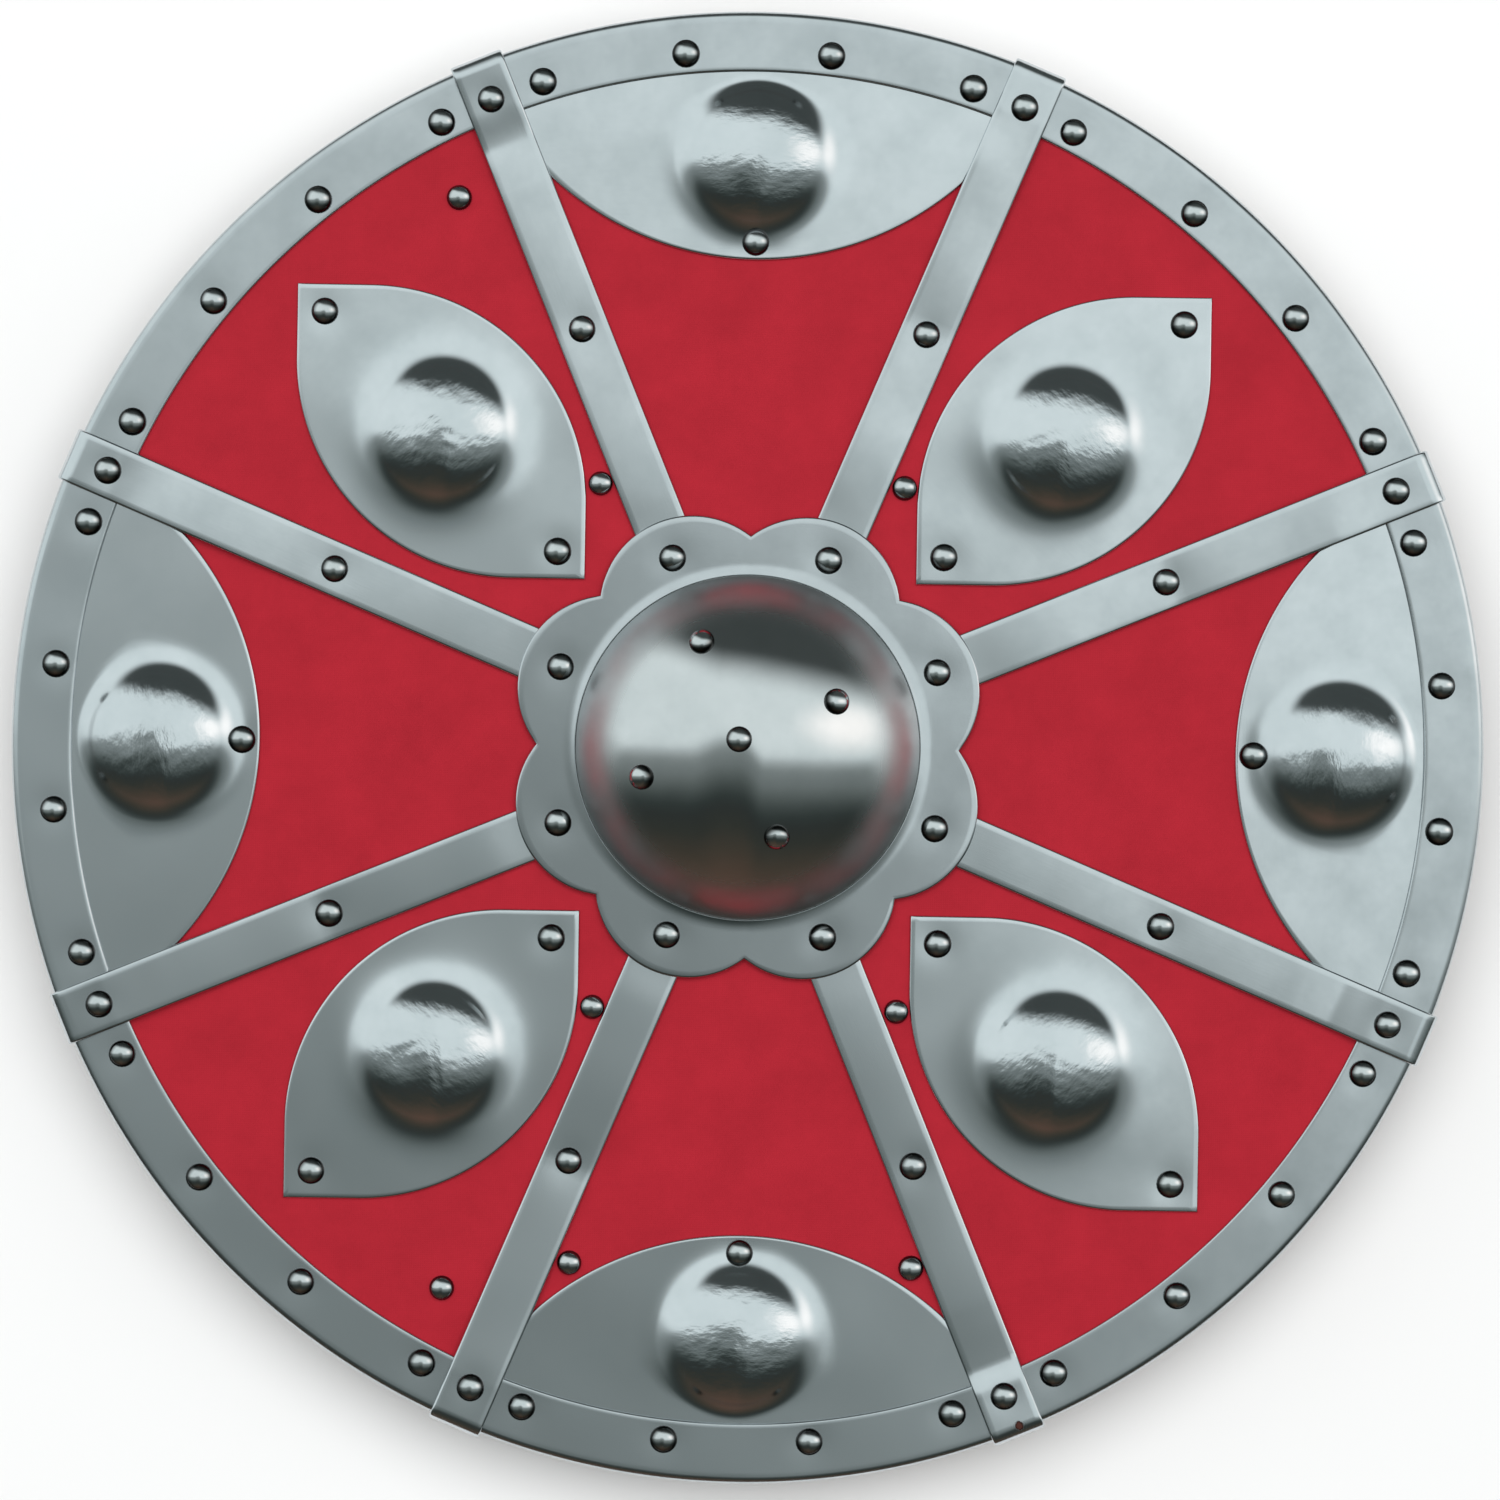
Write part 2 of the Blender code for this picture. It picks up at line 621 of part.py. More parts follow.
def build_dome(steel):
    """A thin cap on an upright neck, with a flange that the centre plate holds down."""
    outer_flange = DOME_RADIUS + DOME_FLANGE
    inner_wall = DOME_RADIUS - DOME_SHEET
    outside = [
        (inner_wall, DOME_FOOT),
        (outer_flange, DOME_FOOT),
        (outer_flange, DOME_FOOT + DOME_SHEET),
        (DOME_RADIUS, DOME_FOOT + DOME_SHEET),
        *dome_cap(0.0, DOME_RINGS),
    ]
    inside = [(min(inner_wall, radius), level) for radius, level in dome_cap(DOME_SHEET, DOME_RINGS - 1)]
    shell = turned("dome_boss", inside[::-1] + outside, DOME_SIDES)
    mesh = cut_and_joined("dome_boss", shell, [("UNION", dome_heads())])
    add_object("dome_boss", mesh, steel)


def arm_profile(span):
    """Side view of a loop: a tab at each rivet, and a flat crown that the shield rests on."""
    middle = BOARD_BACK - GAP - ARM_LEATHER / 2
    drop = middle - ARM_LEATHER / 2
    leave = span - ARM_TAB
    line = [(span + ARM_TAB, middle)]
    for k in range(ARM_STEPS + 1):
        share = k / ARM_STEPS
        line.append((leave - ARM_RUN * share, middle - drop * (1 - math.cos(math.pi * share)) / 2))
    line += [(-x, z) for x, z in reversed(line)]
    upper, lower = [], []
    for k, here in enumerate(line):
        before = Vector(line[max(k - 1, 0)])
        after = Vector(line[min(k + 1, len(line) - 1)])
        along = (after - before).normalized()
        side = Vector((along.y, -along.x)) * ARM_LEATHER / 2
        upper.append(tuple(Vector(here) + side))
        lower.append(tuple(Vector(here) - side))
    return upper + lower[::-1]


def build_arm_straps(leather):
    for name, span, height in arm_straps():
        loop = side_prism(name, arm_profile(span), ARM_WIDTH)
        holes = shanks([(-span, 0.0), (span, 0.0)], 0.0, BOARD_FACE)
        mesh = cut_and_joined(name, loop, [("DIFFERENCE", holes)])
        add_object(name, mesh, leather, place=(0.0, height, 0.0))


def build_field_rivets(steel):
    """Rivets through the facing and the board, closed over a rove on the back."""
    head_base = FACING_TOP + GAP
    for k, (x, y, rove_top) in enumerate(field_rivets()):
        profile = [
            (0.0, rove_top - ROVE_THICK),
            (ROVE_RADIUS, rove_top - ROVE_THICK),
            (ROVE_RADIUS, rove_top),
            (SHANK_RADIUS, rove_top),
            (SHANK_RADIUS, head_base),
            (HEAD_RADIUS, head_base),
            (0.78 * HEAD_RADIUS, head_base + 0.66 * HEAD_RISE),
            (0.0, head_base + HEAD_RISE),
        ]
        add_object(f"field_rivet_{k + 1}", turned("field_rivet", profile, ROUND_SIDES), steel, place=(x, y, 0.0))


def main():
    clear_scene()
    wood = make_material("board_wood", (0.42, 0.27, 0.14), 0.0, 0.6)
    paint = make_material("red_facing", (0.46, 0.02, 0.035), 0.0, 0.55)
    satin = make_material("satin_steel", (0.50, 0.55, 0.57), 1.0, 0.34)
    polished = make_material("polished_steel", (0.60, 0.62, 0.62), 1.0, 0.14)
    leather = make_material("arm_leather", (0.12, 0.055, 0.025), 0.0, 0.6)
    build_board(wood, paint)
    build_rim(satin)
    build_lens_plates(satin)
    build_leaf_plates(satin)
    build_steel_straps(satin)
    build_centre_plate(satin)
    build_dome(polished)
    build_arm_straps(leather)
    build_field_rivets(polished)


main()
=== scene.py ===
"""Looks of a round shield in eight fields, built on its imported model.

A planked board with a red painted facing, an eight-part steel rim, eight steel straps,
four lens plates, four leaf plates, a scalloped centre plate and a domed boss, with round
headed rivets, and leather arm straps on the back. Metres, +Z up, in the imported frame.
"""

import logging
import math
from collections.abc import Sequence
from dataclasses import dataclass, field
from enum import Enum

import bpy
import numpy as np
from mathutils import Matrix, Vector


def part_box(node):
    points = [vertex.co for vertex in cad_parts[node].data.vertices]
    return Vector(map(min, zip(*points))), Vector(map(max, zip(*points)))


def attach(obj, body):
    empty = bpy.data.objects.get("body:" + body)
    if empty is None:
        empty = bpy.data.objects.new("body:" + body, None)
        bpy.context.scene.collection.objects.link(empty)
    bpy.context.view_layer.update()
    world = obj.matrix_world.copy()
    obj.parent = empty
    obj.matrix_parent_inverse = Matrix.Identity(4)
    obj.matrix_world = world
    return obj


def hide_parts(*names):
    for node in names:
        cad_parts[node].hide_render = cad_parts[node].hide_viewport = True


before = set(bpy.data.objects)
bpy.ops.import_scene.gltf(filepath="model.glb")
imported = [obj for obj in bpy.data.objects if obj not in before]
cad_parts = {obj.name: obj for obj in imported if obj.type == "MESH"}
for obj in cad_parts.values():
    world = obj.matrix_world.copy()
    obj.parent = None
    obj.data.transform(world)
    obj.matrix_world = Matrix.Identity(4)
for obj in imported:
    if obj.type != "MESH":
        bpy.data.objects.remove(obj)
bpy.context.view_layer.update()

Array = np.ndarray
Tree = bpy.types.NodeTree
Node = bpy.types.Node
Source = bpy.types.Node | bpy.types.NodeSocket
Point2 = tuple[float, float]
Point3 = tuple[float, float, float]

LOG = logging.getLogger("shield")
MM = 0.001
HALF_FIELD = math.pi / 8
QUARTER = math.pi / 2
MERGE = 1e-7  # points closer than this are one point
SHARP_ANGLE = math.radians(38.0)
FOLD = np.linspace(0.0, QUARTER, 9)  # angles of the points through a quarter circle of a fold


class Lay(Enum):
    """How the marks on a steel piece lie: how closely they follow along it and across it."""

    LENGTHWISE = (0.05, 1.0)
    UPRIGHT = (1.0, 0.07)
    CLOUDED = (1.0, 1.0)


class Side(Enum):
    """Where a lens plate or a leaf plate lies, as its turn from +X in eighths of a circle."""

    RIGHT = 0
    UPPER_RIGHT = 1
    TOP = 2
    UPPER_LEFT = 3
    LEFT = 4
    LOWER_LEFT = 5
    BOTTOM = 6
    LOWER_RIGHT = 7

    @property
    def turn(self) -> float:
        """The turn in radians."""
        return self.value * 2 * HALF_FIELD


# Small curves and surfaces


def eased(share: Array) -> Array:
    """Smooth step from 0 to 1: 3t² - 2t³ of the share held between 0 and 1."""
    held = np.clip(share, 0.0, 1.0)
    return held * held * (3.0 - 2.0 * held)


@dataclass(frozen=True)
class Ripple:
    """Gentle unevenness of worked sheet: a sum of plane waves.

    Each wave is the sine of the distance along its own heading; headings, lengths and
    phases are drawn from a seed.

    Args:
        length: Middle wavelength.
        height: Root sum of the waves' heights.
        waves: How many waves.
        spread: Shortest and longest wave, as shares of the middle one.
    """

    length: float
    height: float
    waves: int = 7
    spread: Point2 = (0.6, 1.5)

    def at(self, x: Array, y: Array, seed: int) -> Array:
        """Height at each point.

        Args:
            x: First coordinate of each point.
            y: Second coordinate of each point.
            seed: Start of the random draws.

        Returns:
            The heights, in the same shape.
        """
        draw = np.random.default_rng(seed)
        heading = draw.uniform(0.0, 2 * math.pi, self.waves)
        number = 2 * math.pi / (self.length * draw.uniform(*self.spread, self.waves))
        phase = draw.uniform(0.0, 2 * math.pi, self.waves)
        run = x[..., None] * np.cos(heading) + y[..., None] * np.sin(heading)
        return self.height * np.sin(number * run + phase).sum(-1) / math.sqrt(self.waves)


@dataclass(frozen=True)
class Pull:
    """Hollows that rivets draw into a sheet: minus depth times exp(-(distance / reach)²).

    Args:
        depth: Depth at a rivet.
        reach: Distance at which it has faded to about a third.
    """

    depth: float
    reach: float = 8.0 * MM

    def at(self, x: Array, y: Array, places: Sequence[Point2]) -> Array:
        """Height at each point.

        Args:
            x: First coordinate of each point.
            y: Second coordinate of each point.
            places: Middle of each hollow.

        Returns:
            The heights, in the same shape.
        """
        total = np.zeros_like(x)
        for across, along in places:
            total -= self.depth * np.exp(-((x - across) ** 2 + (y - along) ** 2) / self.reach**2)
        return total


def stacked(*parts: Array | float) -> Array:
    """Points of their coordinates. One that a row or a column shares is given once."""
    return np.stack(np.broadcast_arrays(*parts), -1)


def around(count: int) -> Array:
    """Angles of points that stand evenly round a circle."""
    return np.arange(count) * 2 * math.pi / count


def arc(centre: Point2, radius: float, start: float, end: float, step: float) -> Array:
    """Points of a circle from one angle up to, but without, another.

    Args:
        centre: Centre of the circle.
        radius: Its radius.
        start: Angle of the first point.
        end: Angle before which they end.
        step: Greatest distance between two points.

    Returns:
        The points, n by 2.
    """
    count = max(2, math.ceil(abs(end - start) * radius / step))
    angle = start + (end - start) * np.arange(count) / count
    return stacked(centre[0] + radius * np.cos(angle), centre[1] + radius * np.sin(angle))


def line(start: Sequence[float], end: Sequence[float], step: float) -> Array:
    """Points of a straight line up to, but without, its end.

    Args:
        start: The first point.
        end: The point before which they end.
        step: Greatest distance between two points.

    Returns:
        The points, n by 2.
    """
    a, b = np.array(start, float), np.array(end, float)
    count = max(2, math.ceil(float(np.linalg.norm(b - a)) / step))
    return a + (b - a) * (np.arange(count) / count)[:, None]


def gone_along(path: Array) -> Array:
    """Length of a path up to each of its points."""
    return np.concatenate([[0.0], np.cumsum(np.linalg.norm(np.diff(path, axis=0), axis=1))])


def rolled(edge: float, count: int = 5) -> tuple[Array, Array]:
    """Section of a sheet's worn edge: a quarter circle that drops to the side of the sheet.

    Args:
        edge: Radius of the quarter circle.
        count: Points through it.

    Returns:
        How far inside the outline each point is, and how far under the sheet's top.
    """
    turn = np.linspace(0.0, QUARTER, count)
    return edge * (1 - np.sin(turn)), edge * (1 - np.cos(turn))


@dataclass(frozen=True)
class Skin:
    """A closed surface.

    Args:
        points: Place of each point, n by 3.
        quads: Four points of each four-sided face.
        tris: Three points of each three-sided face.
        flat: Map of each point, n by 2, in metres along and across the brush marks.
    """

    points: Array
    quads: Array
    tris: Array
    flat: Array

    @classmethod
    def of_grid(cls, grid: Array, flat: Array) -> "Skin":
        """Joins a grid of points into faces, merging points that coincide, faces outward.

        Seams and poles close because their points coincide; a face that loses one point
        becomes a triangle. The sum of the faces' signed volumes says which way they point.

        Args:
            grid: Points, rows by columns by 3.
            flat: Map of the points, rows by columns by 2.

        Returns:
            The closed surface.
        """
        rows, columns = grid.shape[:2]
        index = np.arange(rows * columns).reshape(rows, columns)
        quads = stacked(index[:-1, :-1], index[1:, :-1], index[1:, 1:], index[:-1, 1:]).reshape(-1, 4)
        keys = np.round(grid.reshape(-1, 3) / MERGE)
        _, first, merged = np.unique(keys, axis=0, return_index=True, return_inverse=True)
        points = grid.reshape(-1, 3)[first]
        quads = merged.reshape(-1)[quads]
        same = quads == np.roll(quads, -1, axis=1)
        lost = same.sum(1)
        tris = quads[lost == 1][~same[lost == 1]].reshape(-1, 3)
        quads = quads[lost == 0]
        corners = np.concatenate([quads[:, [0, 1, 2]], quads[:, [0, 2, 3]], tris])
        middle = points.mean(0)
        if np.linalg.det(points[corners] - middle).sum() < 0:
            quads, tris = quads[:, ::-1], tris[:, ::-1]
        return cls(points, quads, tris, flat.reshape(-1, 2)[first])

    @classmethod
    def joined(cls, skins: Sequence["Skin"]) -> "Skin":
        """Several surfaces as one, side by side.

        Args:
            skins: The surfaces.

        Returns:
            All of them, with their faces renumbered.
        """
        starts = np.cumsum([0] + [len(skin.points) for skin in skins[:-1]])
        return cls(
            np.concatenate([skin.points for skin in skins]),
            np.concatenate([skin.quads + at for skin, at in zip(skins, starts)]),
            np.concatenate([skin.tris + at for skin, at in zip(skins, starts)]),
            np.concatenate([skin.flat for skin in skins]),
        )

    def placed(self, turn: float = 0.0, shift: Sequence[float] = (0.0, 0.0, 0.0)) -> "Skin":
        """The surface turned about +Z and then moved.

        Args:
            turn: The turn in radians.
            shift: The move.

        Returns:
            The surface in its new place.
        """
        c, s = math.cos(turn), math.sin(turn)
        spin = np.array([[c, -s, 0.0], [s, c, 0.0], [0.0, 0.0, 1.0]])
        return Skin(self.points @ spin.T + np.array(shift), self.quads, self.tris, self.flat)

    def tipped(self, normal: Array, place: Array) -> "Skin":
        """The surface with its +Z laid along a normal, and then moved.

        Args:
            normal: Unit vector.
            place: Where the surface's origin goes.

        Returns:
            The surface in its new place.
        """
        side = np.cross((0.0, 1.0, 0.0), normal)
        side = side / np.linalg.norm(side)
        axes = stacked(side, np.cross(normal, side), normal)
        return Skin(self.points @ axes.T + place, self.quads, self.tris, self.flat)


def sheet(outer: Array, inner: Array, flat: Array) -> Skin:
    """A strip of sheet between two skins, closed by walls along its four borders.

    The section is a loop over the outer skin and back over the inner one; at both ends the
    loop folds shut on the middle of the wall.

    Args:
        outer: Outer skin, rows along the strip by columns across it by 3.
        inner: Inner skin, point for point under the outer one.
        flat: Map of the points, rows by columns by 2.

    Returns:
        The closed strip.
    """
    middle = (outer + inner) / 2
    over = np.concatenate([middle[:1], outer, middle[-1:]])
    under = np.concatenate([middle[:1], inner, middle[-1:]])
    flat = np.concatenate([flat[:1], flat, flat[-1:]])
    loop = np.concatenate([over, under[:, ::-1], over[:, :1]], axis=1)
    return Skin.of_grid(loop, np.concatenate([flat, flat[:, ::-1], flat[:, :1]], axis=1))


def disc(outer: Array, inner: Array, centre: tuple[float, float], holed: bool = False) -> Skin:
    """A sheet of rings about a middle, closed by a wall at its outline and at its hole.

    Args:
        outer: Outer skin, rings from the middle out by points round by 3.
        inner: Inner skin, point for point under the outer one.
        centre: Where the flat map has its origin.
        holed: The first ring is the edge of a hole, and not one point.

    Returns:
        The closed sheet. Its flat map is its plan, measured from the centre.
    """
    rings = [outer, inner[::-1]] + ([outer[:1]] if holed else [])
    grid = np.concatenate(rings)
    grid = np.concatenate([grid, grid[:, :1]], axis=1)
    return Skin.of_grid(grid, grid[..., :2] - np.array(centre))


def lathe(radii: Array, heights: Array, count: int) -> Skin:
    """A profile turned about +Z; both of its ends lie on the axis.

    Args:
        radii: Radius of each point of the profile.
        heights: Height of each point.
        count: Points round.

    Returns:
        The closed surface. Its flat map is its plan.
    """
    angle = np.append(around(count), 0.0)
    radii, heights = radii[:, None], heights[:, None]
    grid = stacked(radii * np.cos(angle), radii * np.sin(angle), heights)
    return Skin.of_grid(grid, grid[..., :2])


# Finishes


def linear(code: str) -> tuple[float, float, float, float]:
    """An sRGB hex colour as the linear colour that a shader takes.

    Args:
        code: The colour, as # and six digits.

    Returns:
        Red, green, blue and 1.
    """
    shares = [int(code[k : k + 2], 16) / 255 for k in (1, 3, 5)]
    red, green, blue = (s / 12.92 if s <= 0.04045 else ((s + 0.055) / 1.055) ** 2.4 for s in shares)
    return red, green, blue, 1.0


def feed(tree: Tree, socket: bpy.types.NodeSocket, source: object) -> None:
    """Sets an input, or links into it.

    Args:
        tree: The node tree.
        socket: The input.
        source: A value, an output, or a node, which stands for its first output in use.
    """
    if isinstance(source, Node):
        source = next(output for output in source.outputs if output.enabled)
    if isinstance(source, bpy.types.NodeSocket):
        tree.links.new(source, socket)
    else:
        socket.default_value = source


def add_node(
    tree: Tree,
    kind: str,
    inputs: dict[str | int, object] | None = None,
    stops: Sequence[tuple[float, str]] = (),
    **settings: object,
) -> Node:
    """Adds a node with its settings, its values and the links into it.

    Args:
        tree: The node tree.
        kind: The node's type, without the ShaderNode that they all begin with.
        inputs: What each input is fed from.
        stops: Places and hex colours of a ramp.
        settings: Properties of the node.

    Returns:
        The node.
    """
    made = tree.nodes.new(f"ShaderNode{kind}")
    for key, value in settings.items():
        setattr(made, key, value)
    for key, source in (inputs or {}).items():
        feed(tree, made.inputs[key], source)
    for k, (place, code) in enumerate(stops):
        element = made.color_ramp.elements[k] if k < 2 else made.color_ramp.elements.new(place)
        element.position = place
        element.color = linear(code)
    return made


@dataclass(frozen=True)
class Finish:
    """What a piece is made of. Each kind of finish adds its own nodes.

    Args:
        name: The material's name.
        roughness: Middle roughness.
        light: Its lighter colour.
        dark: Its darker colour.
    """

    name: str
    roughness: float
    light: str
    dark: str

    def material(self) -> bpy.types.Material:
        """Makes the material on its first use.

        Returns:
            The material.
        """
        made = bpy.data.materials.get(self.name)
        if made is None:
            made = bpy.data.materials.new(self.name)
            made.use_nodes = True
            shader = made.node_tree.nodes["Principled BSDF"]
            shader.inputs["Roughness"].default_value = self.roughness
            self.dress(made.node_tree, shader)
        return made

    def dress(self, tree: Tree, shader: Node) -> None:
        """Builds the nodes.

        Args:
            tree: The material's node tree.
            shader: The shader that they lead to.
        """
        raise NotImplementedError

    def two_tone(self, tree: Tree, value: Source, low: float = 0.0, high: float = 1.0) -> Node:
        """Colour of a pattern: light up to one value, dark from another, and mixed between.

        Args:
            tree: The node tree.
            value: The pattern.
            low: Value up to which it is light.
            high: Value from which it is dark.

        Returns:
            The colour.
        """
        share = add_node(tree, "MapRange", {"Value": value, "From Min": low, "From Max": high})
        mixed = {"Factor": share, "A": linear(self.light), "B": linear(self.dark)}
        return add_node(tree, "Mix", mixed, data_type="RGBA")

    @staticmethod
    def lumps(tree: Tree, at: Source, size: Sequence[float], **more: float) -> Node:
        """Random lumps that have the given size in metres along the three axes of a pattern.

        Args:
            tree: The node tree.
            at: The coordinates.
            size: Size of a lump along x, y and z.
            more: Further inputs of the noise, by name.

        Returns:
            The lumps.
        """
        scaled = add_node(tree, "Mapping", {"Vector": at, "Scale": [1.0 / s for s in size]})
        return add_node(tree, "TexNoise", {"Vector": scaled, "Scale": 1.0, **more})

    @staticmethod
    def relief(
        tree: Tree, shader: Node, height: Source, rise: float = 1.0, strength: float = 1.0, **settings: bool
    ) -> None:
        """Leads a relief into the shader.

        Args:
            tree: The node tree.
            shader: The shader.
            height: The relief.
            rise: How many metres a height of 1 stands for.
            strength: How strongly it shows.
            settings: Further properties of the bump.
        """
        bump = {"Height": height, "Distance": rise, "Strength": strength}
        feed(tree, shader.inputs["Normal"], add_node(tree, "Bump", bump, **settings))


@dataclass(frozen=True)
class Steel(Finish):
    """Mild steel sheet, cold rolled, then rubbed with an abrasive pad and wiped with oil.

    The rolling leaves a flat sheet that mirrors the room softly, the pad leaves fine marks
    that stretch each light along one way, and the oil leaves faint clouds.

    Args:
        light: Colour of the clean metal.
        dark: Colour of the clouds.
        oxide_and_shade: Colour of the dark ring round a rivet's foot: partly oxidised steel, partly painted
            shade.
        rusted: Colour of the rust.
        lay: Which way the marks run.
        mark: Width of a mark. Real ones are near 0.1 mm; they are drawn coarser to show.
        depth: Height of the marks.
        cloud: Size of a cloud.
        uneven: How much rougher or smoother than the middle it is in places, as a share.
        boss: Radius round the map's origin outside which nothing is polished, 0 for no boss.
        boss_roughness: Roughness of the polished boss.
        polished: Share of that radius inside which the polish is full.
        hammer: Depth of the hammer's dents there.
        dent: Width of a dent.
        dents_fade: Power of the polish by which the dents fade out.
        foot: Radius of a rivet's foot. The outer part of the head round it is darkened, partly as oxidised
            steel and partly as painted shade; 0 for none.
        rust: Place of the one spot of rust, if there is one.
        rust_radius: Its radius.
        rust_grain: Size of the lumps in its border.
        rust_roughness: Roughness of the rust.
    """

    light: str = "#CBD1D4"
    dark: str = "#C0C7CA"
    oxide_and_shade: str = "#2B2C2A"
    rusted: str = "#47261F"
    lay: Lay = Lay.CLOUDED
    mark: float = 0.7 * MM
    depth: float = 0.004 * MM
    cloud: float = 30.0 * MM
    uneven: float = 0.15
    boss: float = 0.0
    boss_roughness: float = 0.13
    polished: float = 0.72
    hammer: float = 0.0
    dent: float = 2.4 * MM
    dents_fade: float = 3.0
    foot: float = 0.0
    rust: Point3 | None = None
    rust_radius: float = 1.7 * MM
    rust_grain: float = 1.2 * MM
    rust_roughness: float = 0.85

    def dress(self, tree: Tree, shader: Node) -> None:
        """Marks and clouds on the map, and where there are any: the dark ring round a rivet's foot (oxidised
        steel and painted shade), the boss and the rust.

        Args:
            tree: The material's node tree.
            shader: The shader that they lead to.
        """
        flat = add_node(tree, "UVMap", uv_map="flat")
        away = add_node(tree, "VectorMath", {0: flat}, operation="LENGTH")
        along, across = self.lay.value
        marks = self.lumps(tree, flat, (self.mark / along, self.mark / across, 1.0), Detail=3.0)
        clouds = self.lumps(tree, flat, (self.cloud, self.cloud, 1.0), Detail=4.0, Roughness=0.6)
        height = add_node(tree, "Math", {0: marks, 1: self.depth}, operation="MULTIPLY")
        low, high = self.roughness * (1 - self.uneven), self.roughness * (1 + self.uneven)
        limits = {"Value": clouds, "From Min": 0.3, "From Max": 0.7, "To Min": low, "To Max": high}
        spread = add_node(tree, "MapRange", limits)
        colour = self.two_tone(tree, clouds, 0.35, 0.7)
        metallic = 1.0
        # Dark ring over the outer half of a rivet's head and its rove: partly oxidised steel, partly painted
        # shade.
        if self.foot:
            limits = {"Value": away, "From Min": self.foot * 0.5, "From Max": self.foot * 0.9}
            oxide_and_shade_ring = add_node(tree, "MapRange", limits, interpolation_type="SMOOTHSTEP")
            mixed = {"Factor": oxide_and_shade_ring, "A": colour, "B": linear(self.oxide_and_shade)}
            colour = add_node(tree, "Mix", mixed, data_type="RGBA")
        if self.boss:
            limits = {"Value": away, "From Min": self.boss, "From Max": self.boss * self.polished}
            polish = add_node(tree, "MapRange", limits)
            mixed = {"Factor": polish, 2: spread, 3: self.boss_roughness}
            spread = add_node(tree, "Mix", mixed, data_type="FLOAT")
            dents = self.lumps(tree, flat, (self.dent, 2 * self.dent, 1.0), Detail=2.0)
            fading = add_node(tree, "Math", {0: polish, 1: self.dents_fade}, operation="POWER")
            depth = add_node(tree, "Math", {0: fading, 1: self.hammer}, operation="MULTIPLY")
            height = add_node(tree, "Math", {0: dents, 1: depth, 2: height}, operation="MULTIPLY_ADD")
        if self.rust:
            colour, spread, metallic = self.spotted(tree, colour, spread)
        feed(tree, shader.inputs["Base Color"], colour)
        feed(tree, shader.inputs["Metallic"], metallic)
        feed(tree, shader.inputs["Roughness"], spread)
        self.relief(tree, shader, height)

    def spotted(self, tree: Tree, colour: Node, spread: Node) -> tuple[Node, Node, Node]:
        """Colour and roughness with the spot of rust, and how metallic it leaves the sheet.

        The spot's border is where the distance from its place, plus a share of the radius
        that is drawn from lumps, passes the radius.

        Args:
            tree: The node tree.
            colour: The metal's colour.
            spread: Its roughness.

        Returns:
            The colour, the roughness and the metallic value.
        """
        at = add_node(tree, "TexCoord").outputs["Object"]
        gone = add_node(tree, "VectorMath", {0: at, 1: self.rust}, operation="DISTANCE")
        ragged = self.lumps(tree, at, [self.rust_grain] * 3, Detail=3.0)
        away = add_node(tree, "Math", {0: ragged, 1: self.rust_radius, 2: gone}, operation="MULTIPLY_ADD")
        limits = {"Value": away, "From Min": self.rust_radius * 1.8, "From Max": self.rust_radius}
        spot = add_node(tree, "MapRange", limits)
        tint = add_node(tree, "MapRange", {"Value": spot, "From Max": 0.4})
        limits = {"Value": spot, "From Min": 0.4, "From Max": 0.7, "To Min": 1.0, "To Max": 0.0}
        bare = add_node(tree, "MapRange", limits)
        mixed = {"Factor": tint, "A": colour, "B": linear(self.rusted)}
        stained = add_node(tree, "Mix", mixed, data_type="RGBA")
        mixed = {"Factor": tint, 2: spread, 3: self.rust_roughness}
        return stained, add_node(tree, "Mix", mixed, data_type="FLOAT"), bare


@dataclass(frozen=True)
class Paint(Finish):
    """Alkyd paint brushed on a linen facing, matt.

    The weave shows as a fine relief and the paint lies a little uneven.

    Args:
        light: Colour where the paint is thin.
        dark: Colour where it lies thick.
        cloud: Size of a cloud.
        thread: Spacing of the threads. Real ones are near 0.5 mm; drawn coarser to show.
        rise: Height of a thread.
        sheen: How much of a smooth paint's mirroring is left, 0.5 being all of it.
    """

    light: str = "#AD2230"
    dark: str = "#A01E2B"
    cloud: float = 25.0 * MM
    thread: float = 0.9 * MM
    rise: float = 0.05 * MM
    sheen: float = 0.15

    def dress(self, tree: Tree, shader: Node) -> None:
        """Two crossed waves for the weave, and clouds for the paint.

        A wave texture of scale 1 repeats every 0.314 units.

        Args:
            tree: The material's node tree.
            shader: The shader that they lead to.
        """
        at = add_node(tree, "TexCoord").outputs["Object"]
        clouds = self.lumps(tree, at, [self.cloud] * 3, Detail=5.0, Roughness=0.65)
        threads = {"Vector": at, "Scale": 0.314 / self.thread, "Distortion": 0.6, "Detail": 2.0}
        warp, weft = (
            add_node(tree, "TexWave", threads, bands_direction=way).outputs[1] for way in ("X", "Y")
        )
        cloth = add_node(tree, "Math", {0: warp, 1: weft}, operation="MAXIMUM")
        shader.inputs["Specular IOR Level"].default_value = self.sheen
        feed(tree, shader.inputs["Base Color"], self.two_tone(tree, clouds, 0.3, 0.7))
        self.relief(tree, shader, cloth, self.rise, 0.6)


